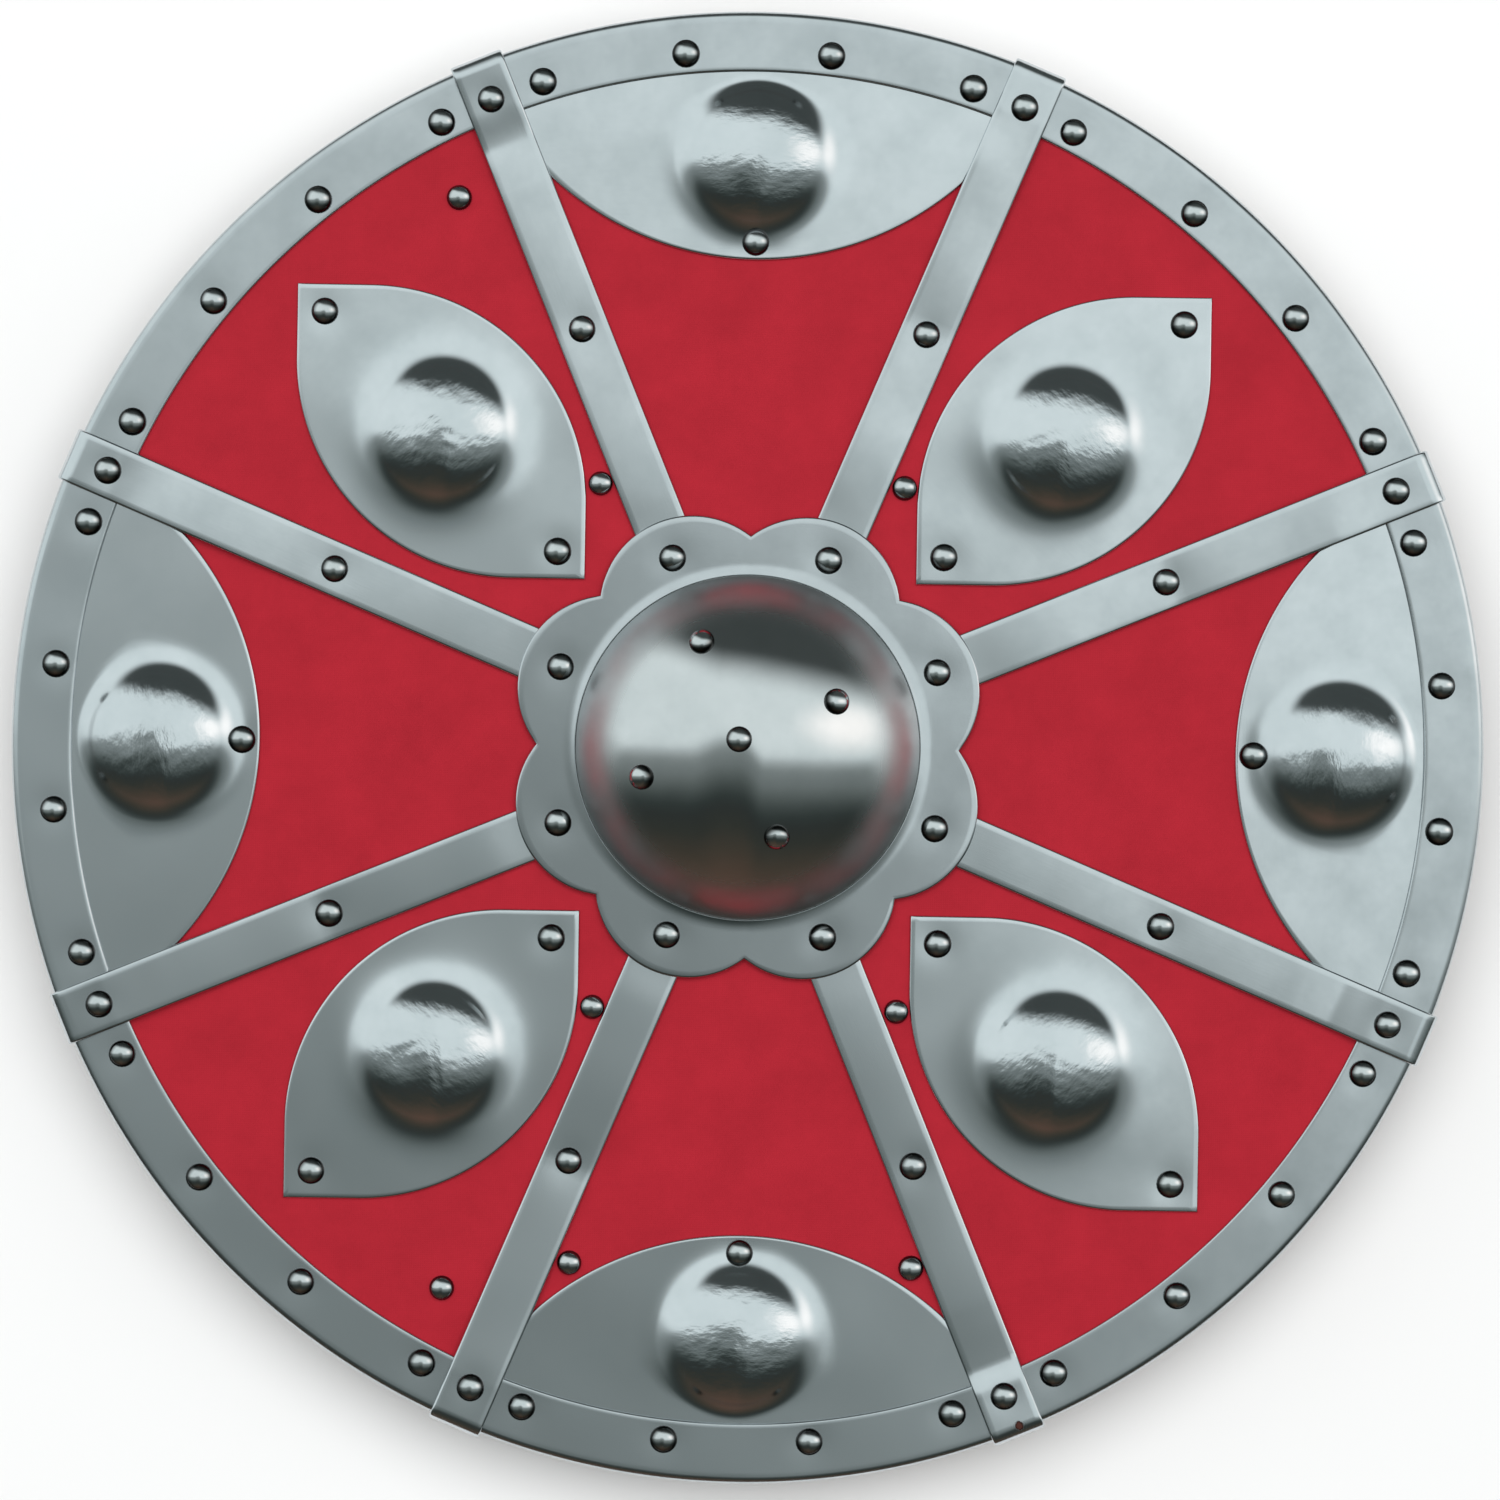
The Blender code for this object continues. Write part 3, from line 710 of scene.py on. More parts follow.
@dataclass(frozen=True, kw_only=True)
class OiledPine(Finish):
    """Pine planks, planed and oiled. Each plank has its own tone and its own grain along +Y.

    Args:
        plank: Width of a plank.
        count: How many planks lie side by side, half of them on either side of x = 0.
        light: Early wood.
        dark: Late wood.
        grain: Size of a streak of the grain.
        fibre: Size of a fibre.
        rise: Height of a fibre.
        shift: How far the grain of two planks can be apart.
    """

    plank: float
    count: int
    light: str = "#C59A66"
    dark: str = "#94683A"
    grain: Point3 = (4.0 * MM, 120.0 * MM, 20.0 * MM)
    fibre: Point3 = (0.7 * MM, 20.0 * MM, 4.0 * MM)
    rise: float = 0.1 * MM
    shift: float = 2.0

    def dress(self, tree: Tree, shader: Node) -> None:
        """Stretched noise for the grain, tinted and moved along by a random value per plank.

        Args:
            tree: The material's node tree.
            shader: The shader that they lead to.
        """
        at = add_node(tree, "TexCoord").outputs["Object"]
        x = add_node(tree, "SeparateXYZ", {0: at}).outputs["X"]
        from_edge = {0: x, 1: 1.0 / self.plank, 2: self.count / 2}
        number = add_node(tree, "Math", from_edge, operation="MULTIPLY_ADD")
        whole = add_node(tree, "Math", {0: number}, operation="FLOOR")
        tone = add_node(tree, "TexWhiteNoise", {"W": whole}, noise_dimensions="1D")
        moved = {0: tone.outputs["Color"], 1: (0.0, self.shift, 0.0), 2: at}
        own = add_node(tree, "VectorMath", moved, operation="MULTIPLY_ADD")
        grain = self.lumps(tree, own, self.grain, Detail=4.0, Distortion=0.6)
        fibre = self.lumps(tree, own, self.fibre, Detail=2.0)
        mixed = add_node(tree, "Math", {0: tone, 1: 0.35, 2: grain}, operation="MULTIPLY_ADD")
        feed(tree, shader.inputs["Base Color"], self.two_tone(tree, mixed, 0.35, 0.95))
        self.relief(tree, shader, fibre, self.rise, 0.5)


@dataclass(frozen=True)
class Leather(Finish):
    """Vegetable tanned cowhide, dyed dark brown and waxed: a pebbled grain with dark pores.

    Args:
        light: Colour of the raised grain.
        dark: Colour of the pores and creases.
        pebble: Size of the grain.
        cloud: Size of a cloud of the dye.
        rise: Height of the grain.
    """

    light: str = "#553622"
    dark: str = "#2E1A10"
    pebble: float = 1.1 * MM
    cloud: float = 12.0 * MM
    rise: float = 0.15 * MM

    def dress(self, tree: Tree, shader: Node) -> None:
        """Cells for the grain, noise for the dye.

        Args:
            tree: The material's node tree.
            shader: The shader that they lead to.
        """
        at = add_node(tree, "TexCoord").outputs["Object"]
        pebbles = {"Vector": at, "Scale": 1.0 / self.pebble}
        cells = add_node(tree, "TexVoronoi", pebbles, feature="SMOOTH_F1")
        dye = self.lumps(tree, at, [self.cloud] * 3, Detail=4.0)
        mixed = add_node(tree, "Math", {0: cells, 1: 0.4, 2: dye}, operation="MULTIPLY_ADD")
        feed(tree, shader.inputs["Base Color"], self.two_tone(tree, mixed, 0.4, 1.0))
        self.relief(tree, shader, cells, self.rise, 0.7, invert=True)


@dataclass(frozen=True)
class Plaster(Finish):
    """The studio floor: smooth pale plaster, matt, with hardly any cloud.

    Args:
        light: Colour of the clean plaster.
        dark: Colour of the clouds.
        cloud: Size of a cloud.
    """

    light: str = "#F4F2F2"
    dark: str = "#F0EEEE"
    cloud: float = 0.4

    def dress(self, tree: Tree, shader: Node) -> None:
        """Very weak large clouds.

        Args:
            tree: The material's node tree.
            shader: The shader that they lead to.
        """
        at = add_node(tree, "TexCoord").outputs["Object"]
        clouds = self.lumps(tree, at, [self.cloud] * 3, Detail=3.0)
        feed(tree, shader.inputs["Base Color"], self.two_tone(tree, clouds))


# Pieces


def object_of(name: str, skin: Skin, finish: Finish) -> bpy.types.Object:
    """Makes an object of a surface.

    Args:
        name: Its name.
        skin: The surface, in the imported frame.
        finish: What it is made of.

    Returns:
        The object, in the scene.
    """
    mesh = bpy.data.meshes.new(name)
    mesh.from_pydata(skin.points.tolist(), [], skin.quads.tolist() + skin.tris.tolist())
    mesh.materials.append(finish.material())
    made = bpy.data.objects.new(name, mesh)
    bpy.context.scene.collection.objects.link(made)
    return made


def put_piece(name: str, skin: Skin, finish: Finish, node: str, edge: float = 0.0) -> None:
    """Makes a piece of the shield, with its flat map, and enters it in the frame.

    Args:
        name: The piece's name.
        skin: Its surface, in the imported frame.
        finish: What it is made of.
        node: The CAD node that it stands for.
        edge: Width of the rounding along sharp edges, 0 for none.
    """
    piece = object_of(name, skin, finish)
    mesh = piece.data
    corner = np.empty(len(mesh.loops), np.int32)
    mesh.loops.foreach_get("vertex_index", corner)
    mesh.uv_layers.new(name="flat").uv.foreach_set("vector", skin.flat[corner].astype(np.float32).ravel())
    mesh.shade_smooth()
    if edge:
        bevel = piece.modifiers.new("Edge", "BEVEL")
        bevel.limit_method = "ANGLE"
        bevel.angle_limit = SHARP_ANGLE
        bevel.width = edge
        bevel.segments = 2
    else:
        mesh.set_sharp_from_angle(angle=SHARP_ANGLE)
    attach(piece, "root")
    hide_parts(node)
    LOG.info("%s: %d faces", name, len(mesh.polygons))


# The stack of layers


@dataclass(frozen=True)
class Stack:
    """Gauges that the pieces share, and the level of each layer.

    Args:
        gap: Play between two layers.
        shield_radius: Outside of the shield.
        rim_band: Width of the rim on the face.
        rim_sheet: Thickness of the rim.
        rim_bend: Outside radius of its folds.
        strap_sheet: Thickness of the steel straps.
        strap_width: Their width.
        plate_sheet: Thickness of the lens, leaf and centre plates.
        head_radius: Radius of a rivet's head.
        head_rise: Its height.
        planks: How many planks the board has.
        board_margin: From the board's edge to the outside of the rim.
        board_back: Level of the board's back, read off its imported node, as all below are.
        board_face: Level of its face.
        facing_top: Top of the facing.
        centre_base: Underside of the centre plate.
    """

    gap: float = 0.3 * MM
    shield_radius: float = 0.305
    rim_band: float = 0.025
    rim_sheet: float = 1.2 * MM
    rim_bend: float = 3.0 * MM
    strap_sheet: float = 1.5 * MM
    strap_width: float = 22.4 * MM
    plate_sheet: float = 1.2 * MM
    head_radius: float = 5.2 * MM
    head_rise: float = 4.2 * MM
    planks: int = 7
    board_margin: float = 3.3 * MM
    board_back: float = field(default_factory=lambda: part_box("board")[0].z)
    board_face: float = field(default_factory=lambda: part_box("board")[1].z)
    facing_top: float = field(default_factory=lambda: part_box("facing")[1].z)
    centre_base: float = field(default_factory=lambda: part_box("centre_plate")[0].z)

    @property
    def board_radius(self) -> float:
        """Radius of the board."""
        return self.shield_radius - self.board_margin

    @property
    def plank_width(self) -> float:
        """Width of a plank."""
        return 2 * self.board_radius / self.planks

    @property
    def sheet_base(self) -> float:
        """Underside of the plates, straps and low rim segments."""
        return self.facing_top + self.gap

    @property
    def plate_top(self) -> float:
        """Top of the lens and leaf plates."""
        return self.sheet_base + self.plate_sheet

    @property
    def low_rim(self) -> float:
        """Top of a rim segment that lies on the facing."""
        return self.sheet_base + self.rim_sheet

    @property
    def high_rim(self) -> float:
        """Top of a rim segment that lies on a lens plate."""
        return self.plate_top + self.gap + self.rim_sheet

    @property
    def strap_top(self) -> float:
        """Top of a steel strap where it lies on the high rim."""
        return self.high_rim + self.gap + self.strap_sheet

    @property
    def rim_back(self) -> float:
        """Lower side of the rim's band on the back."""
        return self.board_back - self.gap - self.rim_sheet

    @property
    def rim_inner(self) -> float:
        """Radius of the rim's inner edge."""
        return self.shield_radius - self.rim_band

    @property
    def bend_start(self) -> float:
        """Distance at which the folds over the rim's edge begin."""
        return self.shield_radius - self.rim_bend


@dataclass(frozen=True)
class RivetHead:
    """A round head hammered by hand, so that no two are quite alike.

    Args:
        radius: Radius of the foot.
        rise: Height over what it holds.
        sunk: How far the foot reaches into it.
        drawn_in: Radius of the sunk part, as a share of the foot's.
        bluntness: Power of the cosine in the profile; below 1 it is fuller than an ellipse.
        widths: Least and greatest width, as shares.
        heights: Least and greatest height, as shares.
        lean: Greatest lean, as a share of the height.
        rings: Rings from the top to the foot.
        count: Points round.
    """

    radius: float
    rise: float
    sunk: float = 0.5 * MM
    drawn_in: float = 0.97
    bluntness: float = 0.9
    widths: Point2 = (0.97, 1.01)
    heights: Point2 = (0.97, 1.0)
    lean: float = 0.05
    rings: int = 8
    count: int = 24

    def skin(self, seed: int) -> Skin:
        """One head at the origin.

        The radius goes with the sine of an angle from the top, the height with a power of
        its cosine, and under the foot the head is drawn in. It leans because each point is
        moved sideways by a small share of its height.

        Args:
            seed: Start of its random draws.

        Returns:
            The closed head.
        """
        draw = np.random.default_rng(seed)
        angle = np.linspace(0.0, QUARTER, self.rings + 1)
        radii = np.concatenate([self.radius * np.sin(angle), [self.radius * self.drawn_in, 0.0]])
        heights = np.concatenate([self.rise * np.cos(angle) ** self.bluntness, [-self.sunk, -self.sunk]])
        head = lathe(radii * draw.uniform(*self.widths), heights * draw.uniform(*self.heights), self.count)
        lean = np.append(draw.uniform(-self.lean, self.lean, 2), 0.0)
        return Skin(head.points + head.points[:, 2:] * lean, head.quads, head.tris, head.flat)

    def row(self, places: Sequence[Sequence[float]], seed: int) -> Skin:
        """Heads at several places, as one surface."""
        return Skin.joined([self.skin(seed + k).placed(shift=place) for k, place in enumerate(places)])


@dataclass(frozen=True)
class ClosedEnd:
    """The back of a rivet: its shank hammered over a rove, or straight onto steel.

    Args:
        rove_radius: Radius of the rove.
        rove_thick: Its thickness.
        rove_edge: Rounding of its edge.
        tail_radius: Radius of the hammered end.
        tail_rise: Its height.
        widths: Least and greatest width of a tail, as shares.
        heights: Least and greatest height, as shares.
        sunk: How far all of it reaches into what it holds.
        count: Points round.
    """

    rove_radius: float = 6.5 * MM
    rove_thick: float = 1.2 * MM
    rove_edge: float = 0.3 * MM
    tail_radius: float = 3.9 * MM
    tail_rise: float = 1.5 * MM
    widths: Point2 = (0.9, 1.1)
    heights: Point2 = (0.85, 1.15)
    sunk: float = 0.4 * MM
    count: int = 20

    def skin(self, seed: int, rove: bool) -> Skin:
        """One end, hanging down from the origin.

        The profile runs over the rounded edge of the rove to the low dome of the tail.

        Args:
            seed: Start of its random draws.
            rove: Whether it has a rove.

        Returns:
            The closed end.
        """
        draw = np.random.default_rng(seed)
        base = self.rove_thick if rove else 0.0
        curve = np.linspace(QUARTER, 0.0, 6)
        radii = [self.tail_radius * draw.uniform(*self.widths) * np.sin(curve)]
        levels = [-base - self.tail_rise * draw.uniform(*self.heights) * np.cos(curve)]
        if rove:
            bend = np.linspace(0.0, QUARTER, 4)
            radii.insert(0, self.rove_radius - self.rove_edge + self.rove_edge * np.cos(bend))
            levels.insert(0, -base + self.rove_edge - self.rove_edge * np.sin(bend))
        radii = np.concatenate([[0.0, radii[0][0]], *radii])
        levels = np.concatenate([[self.sunk, self.sunk], *levels])
        return lathe(radii, levels, self.count)

    def row(self, places: Sequence[Sequence[float]], seed: int, rove: bool = True) -> Skin:
        """Ends at several places, as one surface."""
        return Skin.joined([self.skin(seed + k, rove).placed(shift=place) for k, place in enumerate(places)])


# Sub-assemblies


@dataclass(frozen=True)
class Board:
    """Planks side by side in a circle, and the painted facing on them.

    Args:
        stack: Shared gauges and levels.
        wood: Finish of the planks.
        paint: Finish of the facing.
        joint: Opening between two planks.
        edge: Rounding of a plank's edges.
        cup: How hollow a plank's back is.
        across: Points across a plank.
        along: Points along it.
    """

    stack: Stack
    wood: OiledPine
    paint: Paint
    joint: float = 0.1 * MM
    edge: float = 0.7 * MM
    cup: float = 0.15 * MM
    across: int = 9
    along: int = 25

    def plank(self, low: float, high: float) -> Skin:
        """One plank: x runs across it, and y = t times the root of (radius² - x²), t from -1 to 1.

        Args:
            low: Where its share of the board begins.
            high: Where it ends.

        Returns:
            The closed plank.
        """
        across = np.linspace(low + self.joint / 2, high - self.joint / 2, self.across)
        share = np.linspace(-1.0, 1.0, self.along)[:, None]
        y = share * np.sqrt(np.maximum(self.stack.board_radius**2 - across**2, 0.0))
        cup = self.cup * np.sin(math.pi * (across - low) / (high - low))
        face = stacked(across, y, self.stack.board_face)
        back = stacked(across, y, self.stack.board_back + cup)
        return sheet(face, back, face[..., :2])

    def build(self) -> None:
        """Makes the planks and dresses the facing's own node."""
        s = self.stack
        edges = -s.board_radius + s.plank_width * np.arange(s.planks + 1)
        skin = Skin.joined([self.plank(a, b) for a, b in zip(edges, edges[1:])])
        put_piece("board_planks", skin, self.wood, "board", edge=self.edge)
        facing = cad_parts["facing"]
        facing.data.materials.clear()
        facing.data.materials.append(self.paint.material())


@dataclass(frozen=True)
class Riveted:
    """Pieces of steel sheet with the rivets that hold them.

    Args:
        stack: Shared gauges and levels.
        finish: Finish of the sheet.
        bright: Finish of the rivets.
        head: Shape of their heads.
        end: Shape of their closed ends.
    """

    stack: Stack
    finish: Steel
    bright: Steel
    head: RivetHead
    end: ClosedEnd

    def put(self, node: str, skin: Skin, rivets: Sequence[Skin], turn: float = 0.0) -> None:
        """Makes the two pieces that stand for a node.

        Args:
            node: The CAD node.
            skin: Its sheet, before the turn.
            rivets: Its heads and its closed ends.
            turn: Turn of both about +Z.
        """
        put_piece(f"{node}_sheet", skin.placed(turn), self.finish, node)
        put_piece(f"{node}_rivets", Skin.joined(rivets).placed(turn), self.bright, node)


@dataclass(frozen=True)
class Rim(Riveted):
    """Eight segments of sheet folded over the edge of the board onto its back.

    Args:
        joint: Opening between two segments.
        rivet_inset: From the outside to the rivets.
        rivets: Rivets in a segment.
        pitch: Angle from one to the next.
        bedded: How far a head lies below the face.
        edge: Radius of the sheet's worn edges.
        border: Width along an edge that is left to the points of the worn edge.
        face_points: Points across the rest of the face.
        back_points: The same for the back.
        slices: Points along a segment.
        wave: Unevenness of the face.
        pull: How the rivets draw it in.
        fade: Distance from the outside in which both fade out.
        seeds: Start of the random draws for the sheets, the heads and the closed ends.
    """

    joint: float = 1.0 * MM
    rivet_inset: float = 16.6 * MM
    rivets: int = 4
    pitch: float = math.radians(12.0)
    bedded: float = 0.1 * MM
    edge: float = 0.8 * MM
    border: float = 2.0 * MM
    face_points: int = 11
    back_points: int = 6
    slices: int = 97
    wave: Ripple = Ripple(0.045, 0.04 * MM)
    pull: Pull = Pull(0.16 * MM, 7.5 * MM)
    fade: float = 4.0 * MM
    seeds: tuple[int, int, int] = (40, 100, 200)

    @property
    def rivet_radius(self) -> float:
        """Distance of the rivets from the middle."""
        return self.stack.shield_radius - self.rivet_inset

    def section(self, top: float, depth: float) -> Array:
        """Radius and level through the fold, depth below its outer skin.

        Straight in over the face, a quarter circle down, straight down the side, a quarter
        circle in, and straight in over the back.

        Args:
            top: Level of the face.
            depth: 0 for the outer skin, the sheet's thickness for the inner one.

        Returns:
            Points of radius and level.
        """
        s = self.stack
        bend, reach = s.bend_start, s.rim_bend - depth
        inset, drop = rolled(self.edge)
        drop = drop if depth == 0.0 else np.zeros(len(drop))
        start = s.rim_inner + self.border
        run = np.linspace(start, bend, self.face_points, endpoint=False)
        face = np.append(s.rim_inner + inset[::-1], run)
        sunk = np.append(drop[::-1], np.zeros(self.face_points))
        upper = stacked(bend + reach * np.sin(FOLD), top - s.rim_bend + reach * np.cos(FOLD))
        low = s.rim_back + s.rim_bend
        lower = stacked(bend + reach * np.cos(FOLD), low - reach * np.sin(FOLD))
        back = np.append(np.linspace(bend, start, self.back_points + 1)[1:], s.rim_inner + inset)
        lifted = np.append(np.zeros(self.back_points), drop)
        face, back = stacked(face, top - depth - sunk), stacked(back, s.rim_back + depth + lifted)
        return np.concatenate([face, upper, lower, back])

    def segment(self, top: float, seed: int) -> Skin:
        """One segment about +X: the section carried round through an eighth of a turn.

        The face is a little uneven and drawn in at the rivets; the same heights are added
        to both skins and fade out at the fold.

        Args:
            top: Level of the face.
            seed: Start of the unevenness.

        Returns:
            The closed segment.
        """
        s = self.stack
        half = HALF_FIELD - self.joint / s.shield_radius / 2
        angle = np.linspace(-half, half, self.slices)[:, None]
        rivets = [place[:2] for place in self.places(0.0)]
        skins = []
        for depth in (0.0, s.rim_sheet):
            radius, level = self.section(top, depth).T
            x, y = radius * np.cos(angle), radius * np.sin(angle)
            on_face = (level > top - s.rim_bend) * eased((s.shield_radius - radius) / self.fade)
            worked = self.wave.at(x, y, seed) + self.pull.at(x, y, rivets)
            skins.append(stacked(x, y, level + on_face * worked))
        flat = stacked(angle * s.shield_radius, gone_along(self.section(top, 0.0)))
        return sheet(skins[0], skins[1], flat)

    def places(self, level: float) -> list[Point3]:
        """The rivets of the segment about +X, on a level."""
        turns = [(k - (self.rivets - 1) / 2) * self.pitch for k in range(self.rivets)]
        return [(self.rivet_radius * math.cos(a), self.rivet_radius * math.sin(a), level) for a in turns]

    def build(self) -> None:
        """Makes the eight segments, every second one lying on a lens plate."""
        s = self.stack
        for k, side in enumerate(Side):
            top = s.low_rim if k % 2 else s.high_rim
            heads = self.head.row(self.places(top - self.bedded), self.seeds[1] + 10 * k)
            ends = self.end.row(self.places(s.rim_back), self.seeds[2] + 10 * k, rove=False)
            skin = self.segment(top, self.seeds[0] + k)
            self.put(f"rim_segment_{k + 1}", skin, [heads, ends], side.turn)


@dataclass(frozen=True)
class Boss:
    """The round hollow boss pressed up from a plate.

    Args:
        half_width: Half width of the ellipse that the cap is part of.
        flatness: Its half height, as a share of that.
        steep: Slope at the cap's edge.
        run_out: Distance in which the slope round it falls to a third.
        reach: Distance from the middle at which it has run out.
        foot: Radius of the last ring that is a circle.
        rings: Rings from the top to the foot.
        samples: Steps in which the slope is summed.
    """

    half_width: float = 30.2 * MM
    flatness: float = 0.48
    steep: float = math.radians(42.5)
    run_out: float = 5.0 * MM
    reach: float = 0.12
    foot: float = 35.0 * MM
    rings: int = 40
    samples: int = 2400

    @property
    def radius(self) -> float:
        """Radius of the cap, where it is steepest."""
        share = math.tan(self.steep) / self.flatness
        return self.half_width * share / math.hypot(1.0, share)

    def slope(self, away: Array) -> Array:
        """Slope at each distance from the middle.

        Inside it is the ellipse's: the tangent is flatness times u over the root of
        (1 - u²), u being the share of the half width. Outside it falls as
        exp(-distance / run_out).

        Args:
            away: Distances from the middle.

        Returns:
            The slopes in radians.
        """
        share = np.minimum(away, self.radius) / self.half_width
        fall = np.exp(-np.maximum(away - self.radius, 0.0) / self.run_out)
        return np.arctan(self.flatness * share / np.sqrt(1.0 - share**2)) * fall

    def height(self, away: Array) -> Array:
        """Height over the plate: the tangent of the slope, summed from far outside inwards.

        Args:
            away: Distances from the middle.

        Returns:
            The heights.
        """
        marks = np.linspace(0.0, self.reach, self.samples + 1)
        rise = np.tan(self.slope(marks)) * marks[1]
        return np.interp(away, marks, np.cumsum(rise[::-1])[::-1])


@dataclass(frozen=True)
class Plan:
    """A bossed plate as seen from above, along +X.

    Args:
        outline: Points of its outline, n by 2.
        boss_x: Distance of its boss from the middle of the shield.
        rivets: Places of its rivets.
    """

    outline: Array
    boss_x: float
    rivets: list[Point2]


@dataclass(frozen=True)
class BossedPlate(Riveted):
    """Four sheets with a boss pressed up from each. Lens and leaf add the plan.

    Args:
        boss: The boss.
        kind: First part of a plate's name.
        first: Side of the first plate; there is one on every second side.
        edge: Radius of the sheet's worn edges.
        step: Distance between points of the outline.
        rings: Rings from the boss's foot to the worn edge.
        small_marks: Hammer marks on the boss.
        broad_marks: Broader unevenness on it.
        marked: Share of the cap's radius inside which both are full.
        marks_fade: Distance in which they then fade out.
        wave: Unevenness of the whole sheet.
        pull: How the rivets draw it in.
        crown: How much higher the sheet lies at the boss than at its far ends.
        crown_reach: Distance from the boss over which it falls.
        hold: Distance from the rim at which the rim begins to hold the sheet flat.
        held: Distance at which it is held.
        hold_run: Distance beside the cap in which it then lies flat.
        free_run: The same where the rim doesn't hold it.
        seed: Start of the random draws.
    """

    boss: Boss
    kind: str = "plate"
    first: Side = Side.RIGHT
    edge: float = 0.9 * MM
    step: float = 2.2 * MM
    rings: int = 19
    small_marks: Ripple = Ripple(0.009, 0.04 * MM)
    broad_marks: Ripple = Ripple(0.022, 0.09 * MM)
    marked: float = 0.55
    marks_fade: float = 9.0 * MM
    wave: Ripple = Ripple(0.06, 0.05 * MM)
    pull: Pull = Pull(0.18 * MM)
    crown: float = 0.35 * MM
    crown_reach: float = 0.086
    hold: float = 25.0 * MM
    held: float = 3.0 * MM
    hold_run: float = 7.4 * MM
    free_run: float = 40.0 * MM
    seed: int = 300

    def plan(self) -> Plan:
        """The plate from above."""
        raise NotImplementedError

    def plate(self, plan: Plan, seed: int) -> Skin:
        """The sheet along +X, in rings about the boss.

        The inner rings are circles. From the boss's foot each further ring goes the same
        share of the way out to the outline on every ray, up to the worn edge, whose rings
        stand at its insets and drops. The inner skin lies square under the outer one.

        Args:
            plan: The plate from above.
            seed: Start of the random draws.

        Returns:
            The closed plate.
        """
        ray = plan.outline - np.array([plan.boss_x, 0.0])
        reach = np.linalg.norm(ray, axis=1)
        ray = ray / reach[:, None]
        circles = self.boss.foot * np.linspace(0.0, 1.0, self.boss.rings)
        share = np.linspace(0.0, 1.0, self.rings + 2)[1:-1, None]
        inset, drop = rolled(self.edge)
        away = np.concatenate(
            [
                np.repeat(circles[:, None], len(reach), axis=1),
                self.boss.foot + share * (reach - self.edge - self.boss.foot),
                reach - inset[:, None],
            ]
        )
        sunk = np.concatenate([np.zeros(len(circles) + len(share)), drop])[:, None]
        x, y = plan.boss_x + away * ray[:, 0], away * ray[:, 1]
        level = self.level(x, y, plan, seed)
        slope = self.boss.slope(away)
        back = self.stack.plate_sheet * np.sin(slope)
        outer = stacked(x, y, level - sunk)
        under = level - self.stack.plate_sheet * np.cos(slope)
        inner = stacked(x - back * ray[:, 0], y - back * ray[:, 1], under)
        return disc(outer, inner, (plan.boss_x, 0.0))

    def level(self, x: Array, y: Array, plan: Plan, seed: int) -> Array:
        """Level of the outer skin: the boss, hammer marks on it, a long wave, and the rivets' pull.

        The run-out of the boss fades within free_run from the cap, and near the rim, which
        holds the sheet flat, within hold_run. The crown falls with the square of the
        distance from the boss.

        Args:
            x: Places along the plate.
            y: Places across it.
            plan: The plate from above.
            seed: Start of the random draws.

        Returns:
            The level at each point.
        """
        away = np.hypot(x - plan.boss_x, y)
        near_rim = eased((np.hypot(x, y) - self.stack.rim_inner + self.hold) / (self.hold - self.held))
        run = self.free_run + near_rim * (self.hold_run - self.free_run)
        flat_run = eased((away - self.boss.radius) / run)
        on_boss = 1.0 - eased((away - self.marked * self.boss.radius) / self.marks_fade)
        marks = (self.small_marks.at(x, y, seed) + self.broad_marks.at(x, y, seed + 5)) * on_boss
        wave = self.wave.at(x, y, seed + 1)
        crown = self.crown * np.maximum(1.0 - (away / self.crown_reach) ** 2, 0.0) * (1.0 - near_rim)
        boss = self.boss.height(away) * (1.0 - flat_run)
        return self.stack.plate_top + boss + marks + wave + crown + self.pull.at(x, y, plan.rivets)

    def build(self) -> None:
        """Makes the four plates with their heads, and their closed ends on the board's back."""
        plan = self.plan()
        rivet_x, rivet_y = np.array(plan.rivets).T
        for side in list(Side)[self.first.value :: 2]:
            seed = self.seed + 10 * side.value
            levels = self.level(rivet_x, rivet_y, plan, seed)
            heads = self.head.row([(x, y, z) for (x, y), z in zip(plan.rivets, levels)], seed + 2)
            ends = self.end.row([(x, y, self.stack.board_back) for x, y in plan.rivets], seed + 4)
            name = f"{self.kind}_{side.name.lower()}"
            self.put(name, self.plate(plan, seed), [heads, ends], side.turn)


